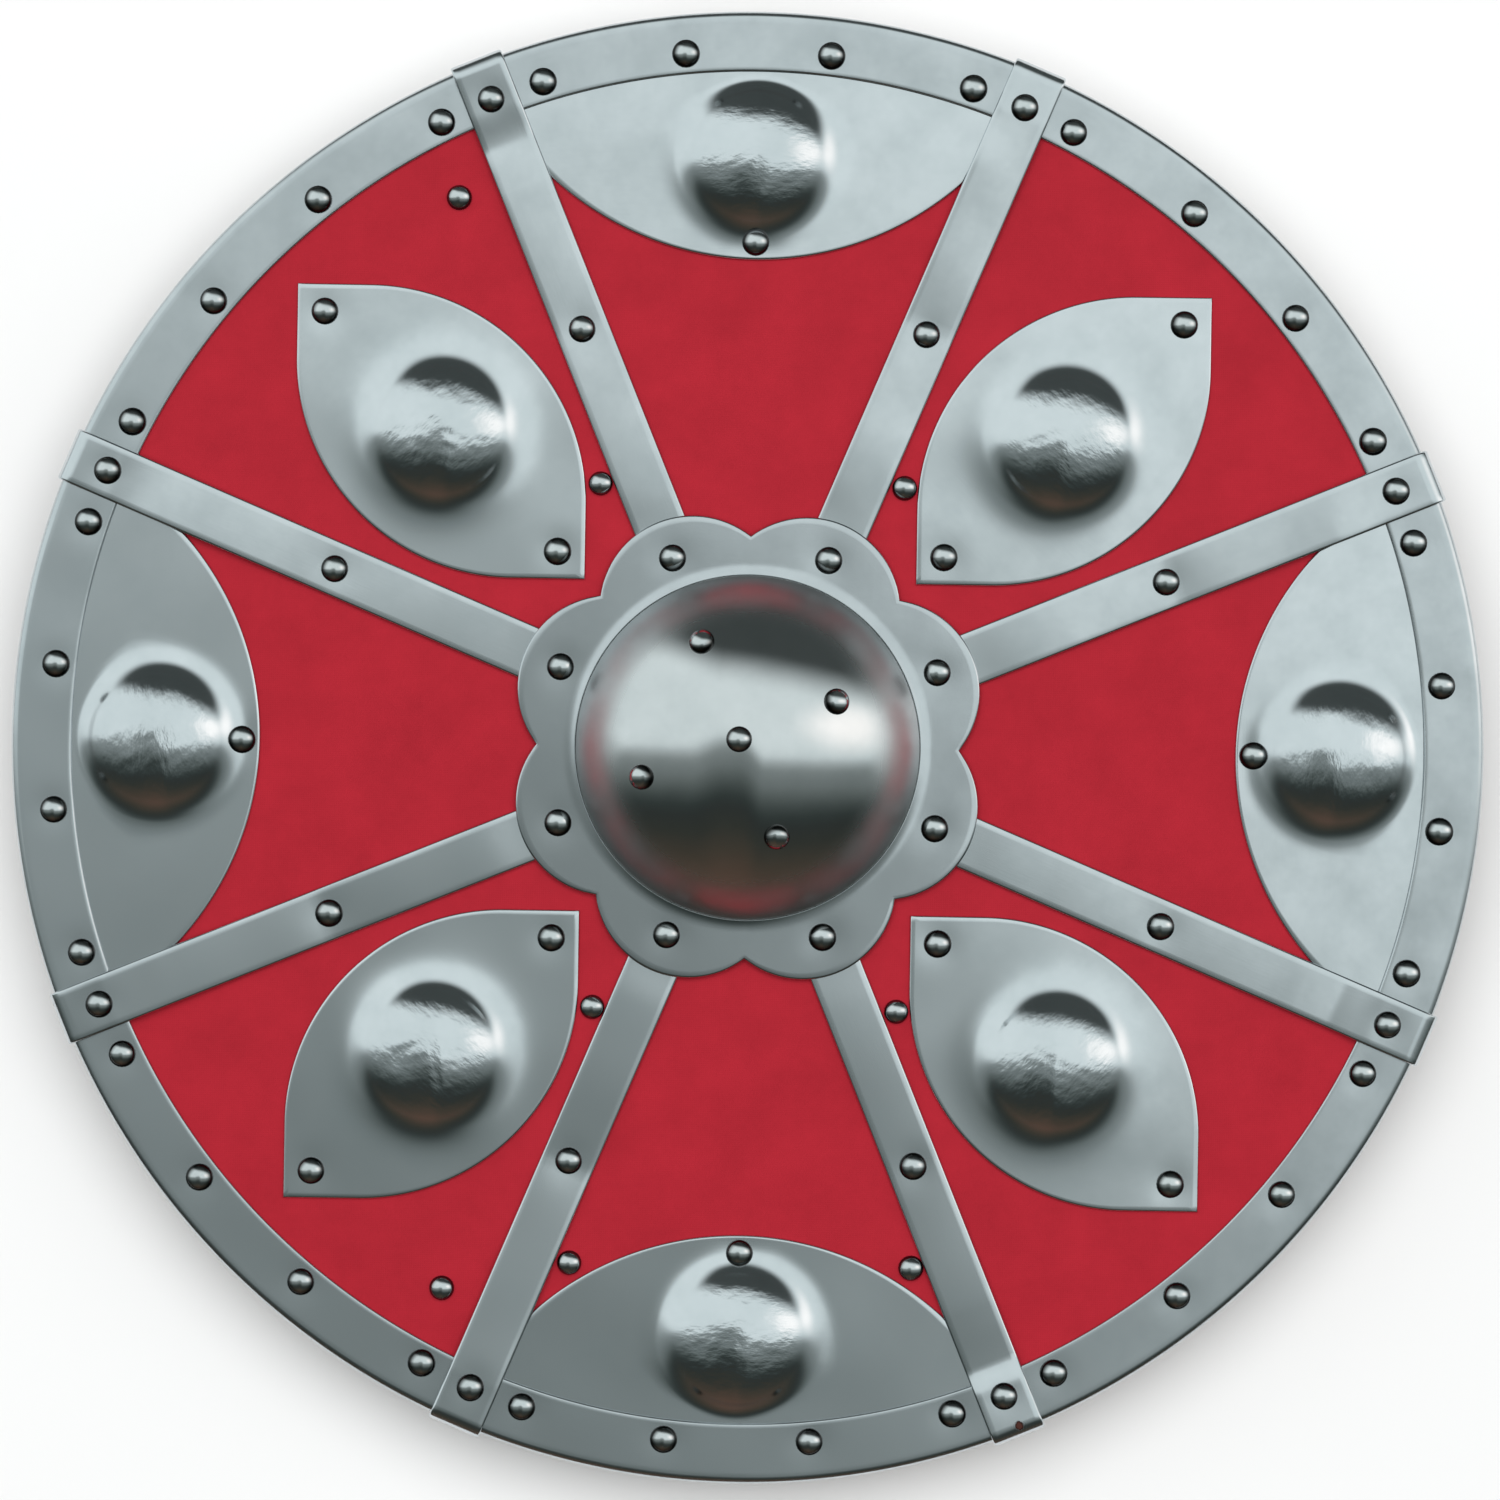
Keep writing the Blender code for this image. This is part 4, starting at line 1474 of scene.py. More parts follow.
@dataclass(frozen=True)
class LensPlates(BossedPlate):
    """Four plates with a round inner edge, tucked under the straps and the rim.

    Args:
        depth: From the rim to the middle of the inner edge.
        side_depth: From the rim to where that edge meets the straps.
        tuck: Reach under a strap.
        rim_tuck: Reach under the rim.
        boss_clear: From the boss's foot to the rim.
        rivet_inset: From the inner edge to the rivet.
    """

    kind: str = "lens_plate"
    first: Side = Side.RIGHT
    crown: float = 0.1 * MM
    free_run: float = 15.0 * MM
    depth: float = 0.078
    side_depth: float = 0.030
    tuck: float = 8.0 * MM
    rim_tuck: float = 16.0 * MM
    boss_clear: float = 0.5 * MM
    rivet_inset: float = 7.4 * MM

    @property
    def inner(self) -> float:
        """Distance from the middle to the inner edge."""
        return self.stack.rim_inner - self.depth

    def circle(self) -> tuple[float, float]:
        """How far out the centre of the inner edge's circle is, and its radius.

        The circle passes the middle of the inner edge and the two points, side_depth from
        the rim, where the near edges of the straps meet the plate.

        Returns:
            The distance and the radius.
        """
        aside = self.stack.strap_width / 2
        meeting = self.stack.rim_inner - self.side_depth
        out = math.sqrt(meeting**2 - aside**2) * math.cos(HALF_FIELD) + aside * math.sin(HALF_FIELD)
        hub = (meeting**2 - self.inner**2) / (2 * (out - self.inner))
        return hub, hub - self.inner

    def corners(self) -> tuple[Array, Array]:
        """Upper corners of the plate, under the strap: on the round edge, and at the rim.

        Points of the cut run along the strap; the first is where the cut meets the circle,
        the second where it meets the outline under the rim.

        Returns:
            The two corners.
        """
        hub, radius = self.circle()
        lean = np.array([math.cos(HALF_FIELD), math.sin(HALF_FIELD)])
        aside = self.stack.strap_width / 2 - self.tuck
        start = aside * np.array([lean[1], -lean[0]])
        from_hub = start - np.array([hub, 0.0])
        half = float(from_hub @ lean)
        run = -half - math.sqrt(half**2 - float(from_hub @ from_hub) + radius**2)
        end = math.sqrt((self.stack.rim_inner + self.rim_tuck) ** 2 - aside**2)
        return start + run * lean, start + end * lean

    def plan(self) -> Plan:
        """The plate from above: an arc under the rim, a cut, the round edge, and the other cut.

        Returns:
            The plan.
        """
        hub, radius = self.circle()
        near, far = self.corners()
        flip = np.array([1.0, -1.0])
        spread = math.atan2(far[1], far[0])
        opening = math.atan2(near[1], near[0] - hub)
        outline = np.concatenate(
            [
                arc((0.0, 0.0), float(np.linalg.norm(far)), -spread, spread, self.step),
                line(far, near, self.step),
                arc((hub, 0.0), radius, opening, 2 * math.pi - opening, self.step),
                line(near * flip, far * flip, self.step),
            ]
        )
        boss_x = self.stack.rim_inner - self.boss_clear - self.boss.foot
        return Plan(outline, boss_x, [(self.inner + self.rivet_inset, 0.0)])


@dataclass(frozen=True)
class LeafPlates(BossedPlate):
    """Four plates on the diagonals: a square on its corner with its side corners rounded.

    Args:
        rim_clear: From the outer tip to the rim.
        inner_tip: Distance from the middle to the inner tip.
        strap_clear: From the round sides to the straps.
        rivet_inset: From both straight edges to a rivet at a tip.
    """

    kind: str = "leaf_plate"
    first: Side = Side.UPPER_RIGHT
    rim_clear: float = 12.0 * MM
    inner_tip: float = 96.9 * MM
    strap_clear: float = 7.2 * MM
    rivet_inset: float = 11.5 * MM

    def plan(self) -> Plan:
        """The plate from above: straight edges from the two tips, joined by arcs at the sides.

        Both arcs turn from one straight edge into the next and clear the strap beside them.

        Returns:
            The plan.
        """
        outer = self.stack.rim_inner - self.rim_clear
        half = (outer - self.inner_tip) / 2
        middle = self.inner_tip + half
        aside = self.stack.strap_width / 2 + self.strap_clear
        need = aside - middle * math.sin(HALF_FIELD) + half * math.cos(HALF_FIELD)
        rounding = need / (math.sqrt(2) * math.cos(HALF_FIELD) - 1)
        centre = half - rounding * math.sqrt(2)
        eighth = math.pi / 4
        start = (middle + rounding * math.cos(eighth), centre + rounding * math.sin(eighth))
        upper = np.concatenate(
            [
                line((outer, 0.0), start, self.step),
                arc((middle, centre), rounding, eighth, 3 * eighth, self.step),
                line((2 * middle - start[0], start[1]), (self.inner_tip, 0.0), self.step),
            ]
        )
        lower = stacked(upper[1:, 0], -upper[1:, 1])[::-1]
        inset = self.rivet_inset * math.sqrt(2)
        rivets = [(outer - inset, 0.0), (self.inner_tip + inset, 0.0)]
        return Plan(np.concatenate([upper, [[self.inner_tip, 0.0]], lower]), middle, rivets)


@dataclass(frozen=True)
class SteelStraps(Riveted):
    """Eight straps that run from the centre plate over the rim and onto the back.

    Args:
        inner: Where a strap begins, under the centre plate.
        covered: Length that lies even there; over as much again the unevenness sets in.
        middle_rivet: Distance of its middle rivet.
        rim_rivet: Distance of its rivet on the rim.
        arch: Height of the low arch between the centre plate and the middle rivet.
        arch_top: Where it is highest.
        climb: Where the climb over the lens plate's corner begins.
        plate_step: Where that climb ends.
        plate_ease: Share of that climb that is eased, the rest being straight.
        beyond: How far past the rim's edge the climb onto it ends.
        rim_climbs: Length of that climb on each strap, None if it rises in one straight line.
        rim_ease: Share of that climb that is eased.
        hump: How much higher than the rim it ends.
        ends: How far each strap stands off the rim at the fold.
        rolls: How far each strap is rolled about its length, as a slope.
        roll_full: Where that slope is reached; it grows with the square of the distance.
        roll_on: Where the roll sets in, and over what length.
        roll_off: Where it begins to fade before the rim, and over what length.
        close: Play between a strap and the plate under it.
        fold: Reach in over the back.
        edge: Radius of the worn edges.
        wave: Unevenness of the strap.
        wave_across: How fast it changes across the strap, as a share of how fast along it.
        crown: How much higher the middle line lies than the borders.
        lift: How much higher all of it lies, to keep clear where the rivets draw it in.
        pull: How they do.
        points: Points along a strap up to each end of a climb, and on the rim.
        back_points: Points along its end on the back.
        width_points: Points across it between the worn edges.
        seed: Start of the random draws.
    """

    inner: float = 75.6 * MM
    covered: float = 20.0 * MM
    middle_rivet: float = 0.1864
    rim_rivet: float = 0.2884
    arch: float = 0.45 * MM
    arch_top: float = 128.0 * MM
    climb: float = 0.189
    plate_step: float = 0.249
    plate_ease: float = 0.3
    beyond: float = 4.5 * MM
    rim_climbs: tuple[float | None, ...] = (None, None, 16 * MM, None, None, None, 10 * MM, 19 * MM)
    rim_ease: float = 0.5
    hump: float = 0.15 * MM
    ends: tuple[float, ...] = (0.7 * MM, 0.1 * MM, 1.2 * MM, 0.0, 0.0, 0.4 * MM, 1.3 * MM, 0.9 * MM)
    rolls: tuple[float, ...] = (-0.032, 0.04, 0.026, 0.045, -0.012, 0.0, 0.018, 0.0)
    roll_full: float = 0.25
    roll_on: Point2 = (0.1, 0.02)
    roll_off: Point2 = (0.258, 0.024)
    close: float = 0.08 * MM
    fold: float = 22.0 * MM
    edge: float = 0.9 * MM
    wave: Ripple = Ripple(0.05, 0.07 * MM)
    wave_across: float = 0.4
    crown: float = 0.06 * MM
    lift: float = 0.1 * MM
    pull: Pull = Pull(0.22 * MM)
    points: tuple[int, ...] = (39, 15, 25, 11)
    back_points: int = 8
    width_points: int = 9
    seed: int = 500

    @property
    def rim_step(self) -> float:
        """Distance at which the climb onto the rim ends."""
        return self.stack.rim_inner + self.beyond

    def rise(self, x: Array, rim_climb: float | None) -> Array:
        """How far the strap rises from the facing to the rim.

        Either one straight line, or a long climb over the lens plate's corner and a shorter
        one onto the rim, each of which mixes a straight line with an eased one.

        Args:
            x: Distances along the strap.
            rim_climb: Length of the second climb, None for one straight line.

        Returns:
            The rise at each distance.
        """
        s = self.stack
        whole = s.high_rim + s.gap - s.sheet_base + self.hump
        if rim_climb is None:
            return whole * np.clip((x - self.climb) / (self.rim_step - self.climb), 0.0, 1.0)
        first = s.plate_top + self.close - s.sheet_base
        on_plate = np.clip((x - self.climb) / (self.plate_step - self.climb), 0.0, 1.0)
        on_rim = np.clip((x - self.rim_step) / rim_climb + 1, 0.0, 1.0)
        lower = self.plate_ease * eased(on_plate) + (1 - self.plate_ease) * on_plate
        upper = self.rim_ease * eased(on_rim) + (1 - self.rim_ease) * on_rim
        return first * lower + (whole - first) * upper

    def side_view(self, k: int) -> tuple[Array, Array]:
        """Path along the strap, and the outward direction at each point of it.

        A low arch, eased up and falling with the square of the distance to the middle
        rivet, then the rise to the rim; two quarter circles round the rim's edge, and flat
        in over its back.

        Args:
            k: Which strap.

        Returns:
            Points of distance and level on the inner skin, and unit directions.
        """
        s = self.stack
        marks = (self.inner, self.climb, self.plate_step, self.rim_step, s.bend_start)
        spans = zip(marks, marks[1:], self.points)
        x = np.concatenate([np.linspace(a, b, count, endpoint=False) for a, b, count in spans])
        falling = (x - self.arch_top) / (self.middle_rivet - self.arch_top)
        rising = eased((x - self.inner) / (self.arch_top - self.inner))
        arch = np.where(falling > 0, np.maximum(1 - falling**2, 0.0), rising)
        across_rim = np.clip((x - self.rim_step) / (s.bend_start - self.rim_step), 0.0, 1.0)
        off_rim = (self.ends[k] - self.hump) * across_rim
        z = s.sheet_base + self.arch * arch + self.rise(x, self.rim_climbs[k]) + off_rim
        reach = s.rim_bend + s.gap
        upper = stacked(np.sin(FOLD), np.cos(FOLD))
        lower = stacked(np.cos(FOLD), -np.sin(FOLD))
        back = np.linspace(s.bend_start, s.shield_radius - self.fold, self.back_points + 1)[1:]
        path = np.concatenate(
            [
                stacked(x, z),
                np.array([s.bend_start, s.high_rim - s.rim_bend + self.ends[k]]) + reach * upper,
                np.array([s.bend_start, s.rim_back + s.rim_bend]) + reach * lower,
                stacked(back, s.rim_back - s.gap),
            ]
        )
        return path, np.concatenate([stacked(0.0 * x, 1.0), upper, lower, stacked(0.0 * back, -1.0)])

    def strap(self, k: int, seed: int) -> Skin:
        """One strap along +X: the side view carried across its width.

        Both skins share the unevenness, are drawn in at the rivets and crowned by a hair.
        Between the centre plate and the rim the strap is rolled: its border on the lower
        side stays down, and the other rises by the slope times the width.

        Args:
            k: Which strap.
            seed: Start of the unevenness.

        Returns:
            The closed strap.
        """
        path, out = self.side_view(k)
        half = self.stack.strap_width / 2
        inset, drop = rolled(self.edge)
        middle = np.linspace(-half + self.edge, half - self.edge, self.width_points + 2)[1:-1]
        across = np.concatenate([inset[::-1] - half, middle, half - inset])
        sunk = np.concatenate([drop[::-1], np.zeros(self.width_points), drop])
        x, y = np.broadcast_arrays(path[:, :1], across)
        on_face = out[:, 1:] == 1.0
        crown = self.crown * (1 - (y / half) ** 2)
        rivets = [(self.middle_rivet, 0.0), (self.rim_rivet, 0.0)]
        wave = self.wave.at(x, y * self.wave_across, seed)
        uneven = wave + crown + self.lift + self.pull.at(x, y, rivets)
        (on, on_run), (off, off_run) = self.roll_on, self.roll_off
        free = eased((x - on) / on_run) * (1 - eased((x - off) / off_run)) * (x / self.roll_full) ** 2
        roll = self.rolls[k] * y + abs(self.rolls[k]) * half
        lift = on_face * (eased((x - self.inner - self.covered) / self.covered) * uneven + free * roll)
        outer, inner = (
            stacked(x + out[:, :1] * depth, y, path[:, 1:] + out[:, 1:] * depth + lift)
            for depth in (self.stack.strap_sheet - sunk, np.zeros(len(sunk)))
        )
        return sheet(outer, inner, stacked(gone_along(path)[:, None], across))

    def build(self) -> None:
        """Makes the eight straps with their rivets."""
        s = self.stack
        on_fold = [(self.rim_rivet, 0.0, s.rim_back - s.gap - s.strap_sheet)]
        on_board = [(self.middle_rivet, 0.0, s.board_back)]
        share = (self.rim_rivet - self.rim_step) / (s.bend_start - self.rim_step)
        for k in range(8):
            seed = self.seed + 10 * k
            roll = abs(self.rolls[k]) * (self.middle_rivet / self.roll_full) ** 2
            held = s.sheet_base + s.strap_sheet + roll * s.strap_width / 2
            lifted = s.strap_top + self.hump * (1 - share) + self.ends[k] * share
            rivets = [
                self.head.row([(self.middle_rivet, 0.0, held), (self.rim_rivet, 0.0, lifted)], seed + 2),
                self.end.row(on_fold, seed + 4, rove=False),
                self.end.row(on_board, seed + 5),
            ]
            self.put(f"steel_strap_{k + 1}", self.strap(k, seed), rivets, HALF_FIELD * (2 * k + 1))


@dataclass(frozen=True)
class CentrePlate(Riveted):
    """A ring of sheet with eight round lobes, one on each strap.

    Args:
        hole: Radius of the hole for the dome.
        notch: Distance of the notches between the lobes.
        crown: Distance of the lobes' crowns.
        rivet: Distance of the rivets.
        bedded: How far a head lies below the face.
        edge: Radius of the worn edges.
        hole_edge: Radius of the worn edge of the hole.
        lip: Height of the lip that was drawn up round the hole.
        lip_width: Its width.
        wave: Unevenness of the sheet.
        pull: How the rivets draw it in.
        lift: How much higher all of the face lies.
        points: Points round.
        rings: Rings between the two worn edges.
        crowding: Power by which they stand closer near the hole.
        seed: Start of the random draws.
    """

    hole: float = 71.4 * MM
    notch: float = 87.7 * MM
    crown: float = 100.5 * MM
    rivet: float = 84.4 * MM
    bedded: float = 0.1 * MM
    edge: float = 0.9 * MM
    hole_edge: float = 0.35 * MM
    lip: float = 0.6 * MM
    lip_width: float = 4.5 * MM
    wave: Ripple = Ripple(0.05, 0.03 * MM)
    pull: Pull = Pull(0.14 * MM)
    lift: float = 0.05 * MM
    points: int = 240
    rings: int = 17
    crowding: float = 1.5
    seed: int = 700

    def reach(self, angle: Array) -> Array:
        """Distance of the outline at each angle.

        Every lobe is a circle about a hub on its strap's line, through the crown and both
        notches: hub times cos a plus the root of (radius² - hub² sin² a).

        Args:
            angle: Angles from +X.

        Returns:
            The distances.
        """
        lean = math.cos(HALF_FIELD)
        hub = (self.crown**2 - self.notch**2) / (2 * (self.crown - self.notch * lean))
        aside = (angle + HALF_FIELD) % (2 * HALF_FIELD) - HALF_FIELD
        aside = np.abs(np.abs(aside) - HALF_FIELD)
        return hub * np.cos(aside) + np.sqrt((self.crown - hub) ** 2 - (hub * np.sin(aside)) ** 2)

    def plate(self, rivets: Sequence[Point2]) -> Skin:
        """The sheet: rings from the hole to the outline, with the lip's square round the hole.

        Args:
            rivets: Places of the rivets.

        Returns:
            The closed sheet.
        """
        angle = around(self.points)
        reach = self.reach(angle)
        share = np.linspace(0.0, 1.0, self.rings + 2)[1:-1, None]
        inset, drop = rolled(self.edge)
        hole_inset, hole_drop = rolled(self.hole_edge)
        low, high = self.hole + self.hole_edge, reach - self.edge
        away = np.concatenate(
            [
                np.repeat(self.hole + hole_inset[::-1, None], len(reach), axis=1),
                low + share**self.crowding * (high - low),
                reach - inset[:, None],
            ]
        )
        sunk = np.concatenate([hole_drop[::-1], np.zeros(self.rings), drop])[:, None]
        x, y = away * np.cos(angle), away * np.sin(angle)
        worked = self.wave.at(x, y, self.seed) + self.pull.at(x, y, rivets) + self.lift
        base = self.stack.centre_base
        lip = self.lip * np.clip(1.0 - (away - self.hole) / self.lip_width, 0.0, 1.0) ** 2
        outer = stacked(x, y, base + self.stack.plate_sheet + worked + lip - sunk)
        inner = stacked(x, y, base + np.maximum(worked, 0.0) + lip)
        return disc(outer, inner, (0.0, 0.0), holed=True)

    def build(self) -> None:
        """Makes the plate and its rivets."""
        s = self.stack
        turns = HALF_FIELD * (2 * np.arange(8) + 1)
        places = [(self.rivet * math.cos(a), self.rivet * math.sin(a)) for a in turns]
        top = s.centre_base + s.plate_sheet - self.bedded
        heads = self.head.row([(x, y, top) for x, y in places], self.seed + 10)
        ends = self.end.row([(x, y, s.board_back) for x, y in places], self.seed + 20)
        self.put("centre_plate", self.plate(places), [heads, ends])


@dataclass(frozen=True)
class Dome:
    """The domed boss: a thin polished cap on a low upright neck, with a flange.

    Args:
        stack: Shared gauges and levels.
        finish: Finish of the cap.
        bright: Finish of its rivets.
        head: Shape of their heads.
        radius: Outside, at the foot.
        neck: Height of the upright part.
        neck_rings: Height over its foot of the two rings on it.
        cap: Rise of the cap.
        half_width: Half width of the ellipse that the cap is part of.
        flange: Width of the flange.
        thick: Thickness of the sheet.
        ring: Distance of the four outer rivets from the top one.
        turn: Turn of the ring.
        shift: How far all five are off the middle.
        wave: Unevenness of the cap.
        fine_wave: Finer unevenness of it.
        fade: Share of the radius over which both fade out at the edge.
        points: Points round.
        rings: Rings of the cap.
        seed: Start of the random draws.
    """

    stack: Stack
    finish: Steel
    bright: Steel
    head: RivetHead
    radius: float = 71.0 * MM
    neck: float = 5.5 * MM
    neck_rings: Point2 = (4.5 * MM, 2.6 * MM)
    cap: float = 41.5 * MM
    half_width: float = 72.6 * MM
    flange: float = 4.0 * MM
    thick: float = 1.5 * MM
    ring: float = 42.6 * MM
    turn: float = math.radians(22.0)
    shift: Point2 = (-3.5 * MM, 3.3 * MM)
    wave: Ripple = Ripple(0.04, 0.045 * MM)
    fine_wave: Ripple = Ripple(0.015, 0.008 * MM)
    fade: float = 0.1
    points: int = 192
    rings: int = 49
    seed: int = 800

    @property
    def ellipse(self) -> Point3:
        """The cap's ellipse: its half height, its centre's level and the angle to its edge."""
        edge = math.asin(self.radius / self.half_width)
        half_height = self.cap / (1 - math.cos(edge))
        return half_height, self.stack.sheet_base + self.neck + self.cap - half_height, edge

    def profile(self, depth: float) -> tuple[Array, Array]:
        """Radii and levels from the top over the edge and down the neck to the flange.

        The cap is part of an ellipse: half width times the sine and half height times the
        cosine of an angle. The inner skin lies square under it.

        Args:
            depth: 0 for the outer skin, the sheet's thickness for the inner one.

        Returns:
            Radii and levels.
        """
        half_height, level, edge = self.ellipse
        base = self.stack.sheet_base
        down = np.linspace(0.0, edge, self.rings)
        square = np.stack([half_height * np.sin(down), self.half_width * np.cos(down)])
        square = square / np.linalg.norm(square, axis=0)
        radii = self.half_width * np.sin(down) - depth * square[0]
        levels = level + half_height * np.cos(down) - depth * square[1]
        wall = self.radius - depth
        foot = base + self.thick - depth
        tail_r = [wall, wall, wall, self.radius + self.flange]
        tail_z = [*(base + height for height in self.neck_rings), foot, foot]
        return np.append(np.minimum(radii, wall), tail_r), np.append(levels, tail_z)

    def sheet(self) -> Skin:
        """The cap, a hair out of true, with its neck and its flange.

        Returns:
            The closed sheet.
        """
        angle = around(self.points)
        skins = []
        for depth in (0.0, self.thick):
            radii, levels = (values[:, None] for values in self.profile(depth))
            x, y = radii * np.cos(angle), radii * np.sin(angle)
            true = eased((radii - (1.0 - self.fade) * self.radius) / (self.fade * self.radius))
            worked = self.wave.at(x, y, self.seed) + self.fine_wave.at(x, y, self.seed + 1)
            skins.append(stacked(x, y, levels + (1.0 - true) * worked))
        return disc(skins[0], skins[1], (0.0, 0.0))

    def rivets(self) -> Skin:
        """The five heads, one at the top and four round it, each square to the cap.

        The normal of the ellipse at a point is the point's place over the square of the half
        width, and its height over the square of the half height.

        Returns:
            The heads as one surface.
        """
        half_height, level, _ = self.ellipse
        turns = self.turn + np.arange(4) * QUARTER
        plan = [(0.0, 0.0)] + [(self.ring * math.cos(a), self.ring * math.sin(a)) for a in turns]
        heads = []
        for k, (across, along) in enumerate(plan):
            x, y = across + self.shift[0], along + self.shift[1]
            z = half_height * math.sqrt(1 - (x**2 + y**2) / self.half_width**2)
            normal = np.array([x / self.half_width**2, y / self.half_width**2, z / half_height**2])
            normal = normal / np.linalg.norm(normal)
            heads.append(self.head.skin(self.seed + 10 + k).tipped(normal, np.array([x, y, level + z])))
        return Skin.joined(heads)

    def build(self) -> None:
        """Makes the dome and its heads."""
        put_piece("dome_boss_cap", self.sheet(), self.finish, "dome_boss")
        put_piece("dome_boss_rivets", self.rivets(), self.bright, "dome_boss")


@dataclass(frozen=True)
class ArmStraps:
    """Three leather loops on the back, and the rivets through the red fields.

    Args:
        stack: Shared gauges and levels.
        leather: Finish of the loops.
        bright: Finish of the rivets.
        head: Shape of their heads.
        end: Shape of their closed ends.
        names: Names of the loops, which hang on the first six rivets, two by two.
        thick: Thickness of the leather.
        width: Width of a loop.
        tab: From a rivet to the end of the flat tab.
        run: Length over which a loop leaves the board.
        edge: Rounding of the leather's edges.
        points: Points along half a loop: on its tab, its run and its crown.
        width_points: Points across it between the rounded edges.
        seeds: Start of the random draws for the heads and the closed ends.
    """

    stack: Stack
    leather: Leather
    bright: Steel
    head: RivetHead
    end: ClosedEnd
    names: tuple[str, ...] = ("grip_strap", "forearm_strap", "elbow_strap")
    thick: float = 3.5 * MM
    width: float = 32.0 * MM
    tab: float = 12.0 * MM
    run: float = 16.0 * MM
    edge: float = 0.9 * MM
    points: tuple[int, int, int] = (5, 17, 6)
    width_points: int = 9
    seeds: tuple[int, int] = (900, 910)

    def loop(self, span: float) -> Skin:
        """One loop along +X: tab, cosine run, flat crown, and the same back.

        Both skins lie half the thickness to either side of the middle line, square to it.

        Args:
            span: Distance of its rivets from the middle.

        Returns:
            The closed loop.
        """
        middle = self.stack.board_back - self.stack.gap - self.thick / 2
        leave, border = span - self.tab, 2 * self.edge
        on_tab, on_run, on_crown = self.points
        x = np.concatenate(
            [
                [span + self.tab, span + self.tab - border],
                np.linspace(span + self.tab / 2, leave, on_tab, endpoint=False),
                leave - self.run * np.linspace(0.0, 1.0, on_run),
                np.linspace(leave - self.run, 0.0, on_crown + 1)[1:],
            ]
        )
        x = np.concatenate([x, -x[-2::-1]])
        gone = np.clip((leave - np.abs(x)) / self.run, 0.0, 1.0)
        z = middle - (middle - self.thick / 2) * (1 - np.cos(math.pi * gone)) / 2
        path = stacked(x, z)
        along = np.gradient(path, axis=0)
        along = along / np.linalg.norm(along, axis=1)[:, None]
        side = stacked(along[:, 1], -along[:, 0]) * self.thick / 2
        half = self.width / 2
        between = np.linspace(-half + border, half - border, self.width_points)
        across = np.concatenate([[-half], between, [half]])
        skins = []
        for way in (1.0, -1.0):
            skin_x, skin_z = (path + way * side).T[:, :, None]
            skins.append(stacked(skin_x, across, skin_z))
        return sheet(skins[0], skins[1], stacked(gone_along(path)[:, None], across))

    def build(self) -> None:
        """Makes the loops and the eight field rivets, each where its node is."""
        middles = []
        for k in range(8):
            low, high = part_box(f"field_rivet_{k + 1}")
            middles.append(((low.x + high.x) / 2, (low.y + high.y) / 2, low.z))
        for name, (left, y, _), (right, _, _) in zip(self.names, middles[::2], middles[1::2]):
            skin = self.loop((right - left) / 2).placed(shift=(0.0, y, 0.0))
            put_piece(f"{name}_leather", skin, self.leather, name, edge=self.edge)
        for k, (x, y, low) in enumerate(middles):
            name = f"field_rivet_{k + 1}"
            on_face = self.head.row([(x, y, self.stack.facing_top)], self.seeds[0] + k)
            on_back = self.end.row([(x, y, low + self.end.rove_thick)], self.seeds[1] + k)
            put_piece(f"{name}_steel", Skin.joined([on_face, on_back]), self.bright, name)


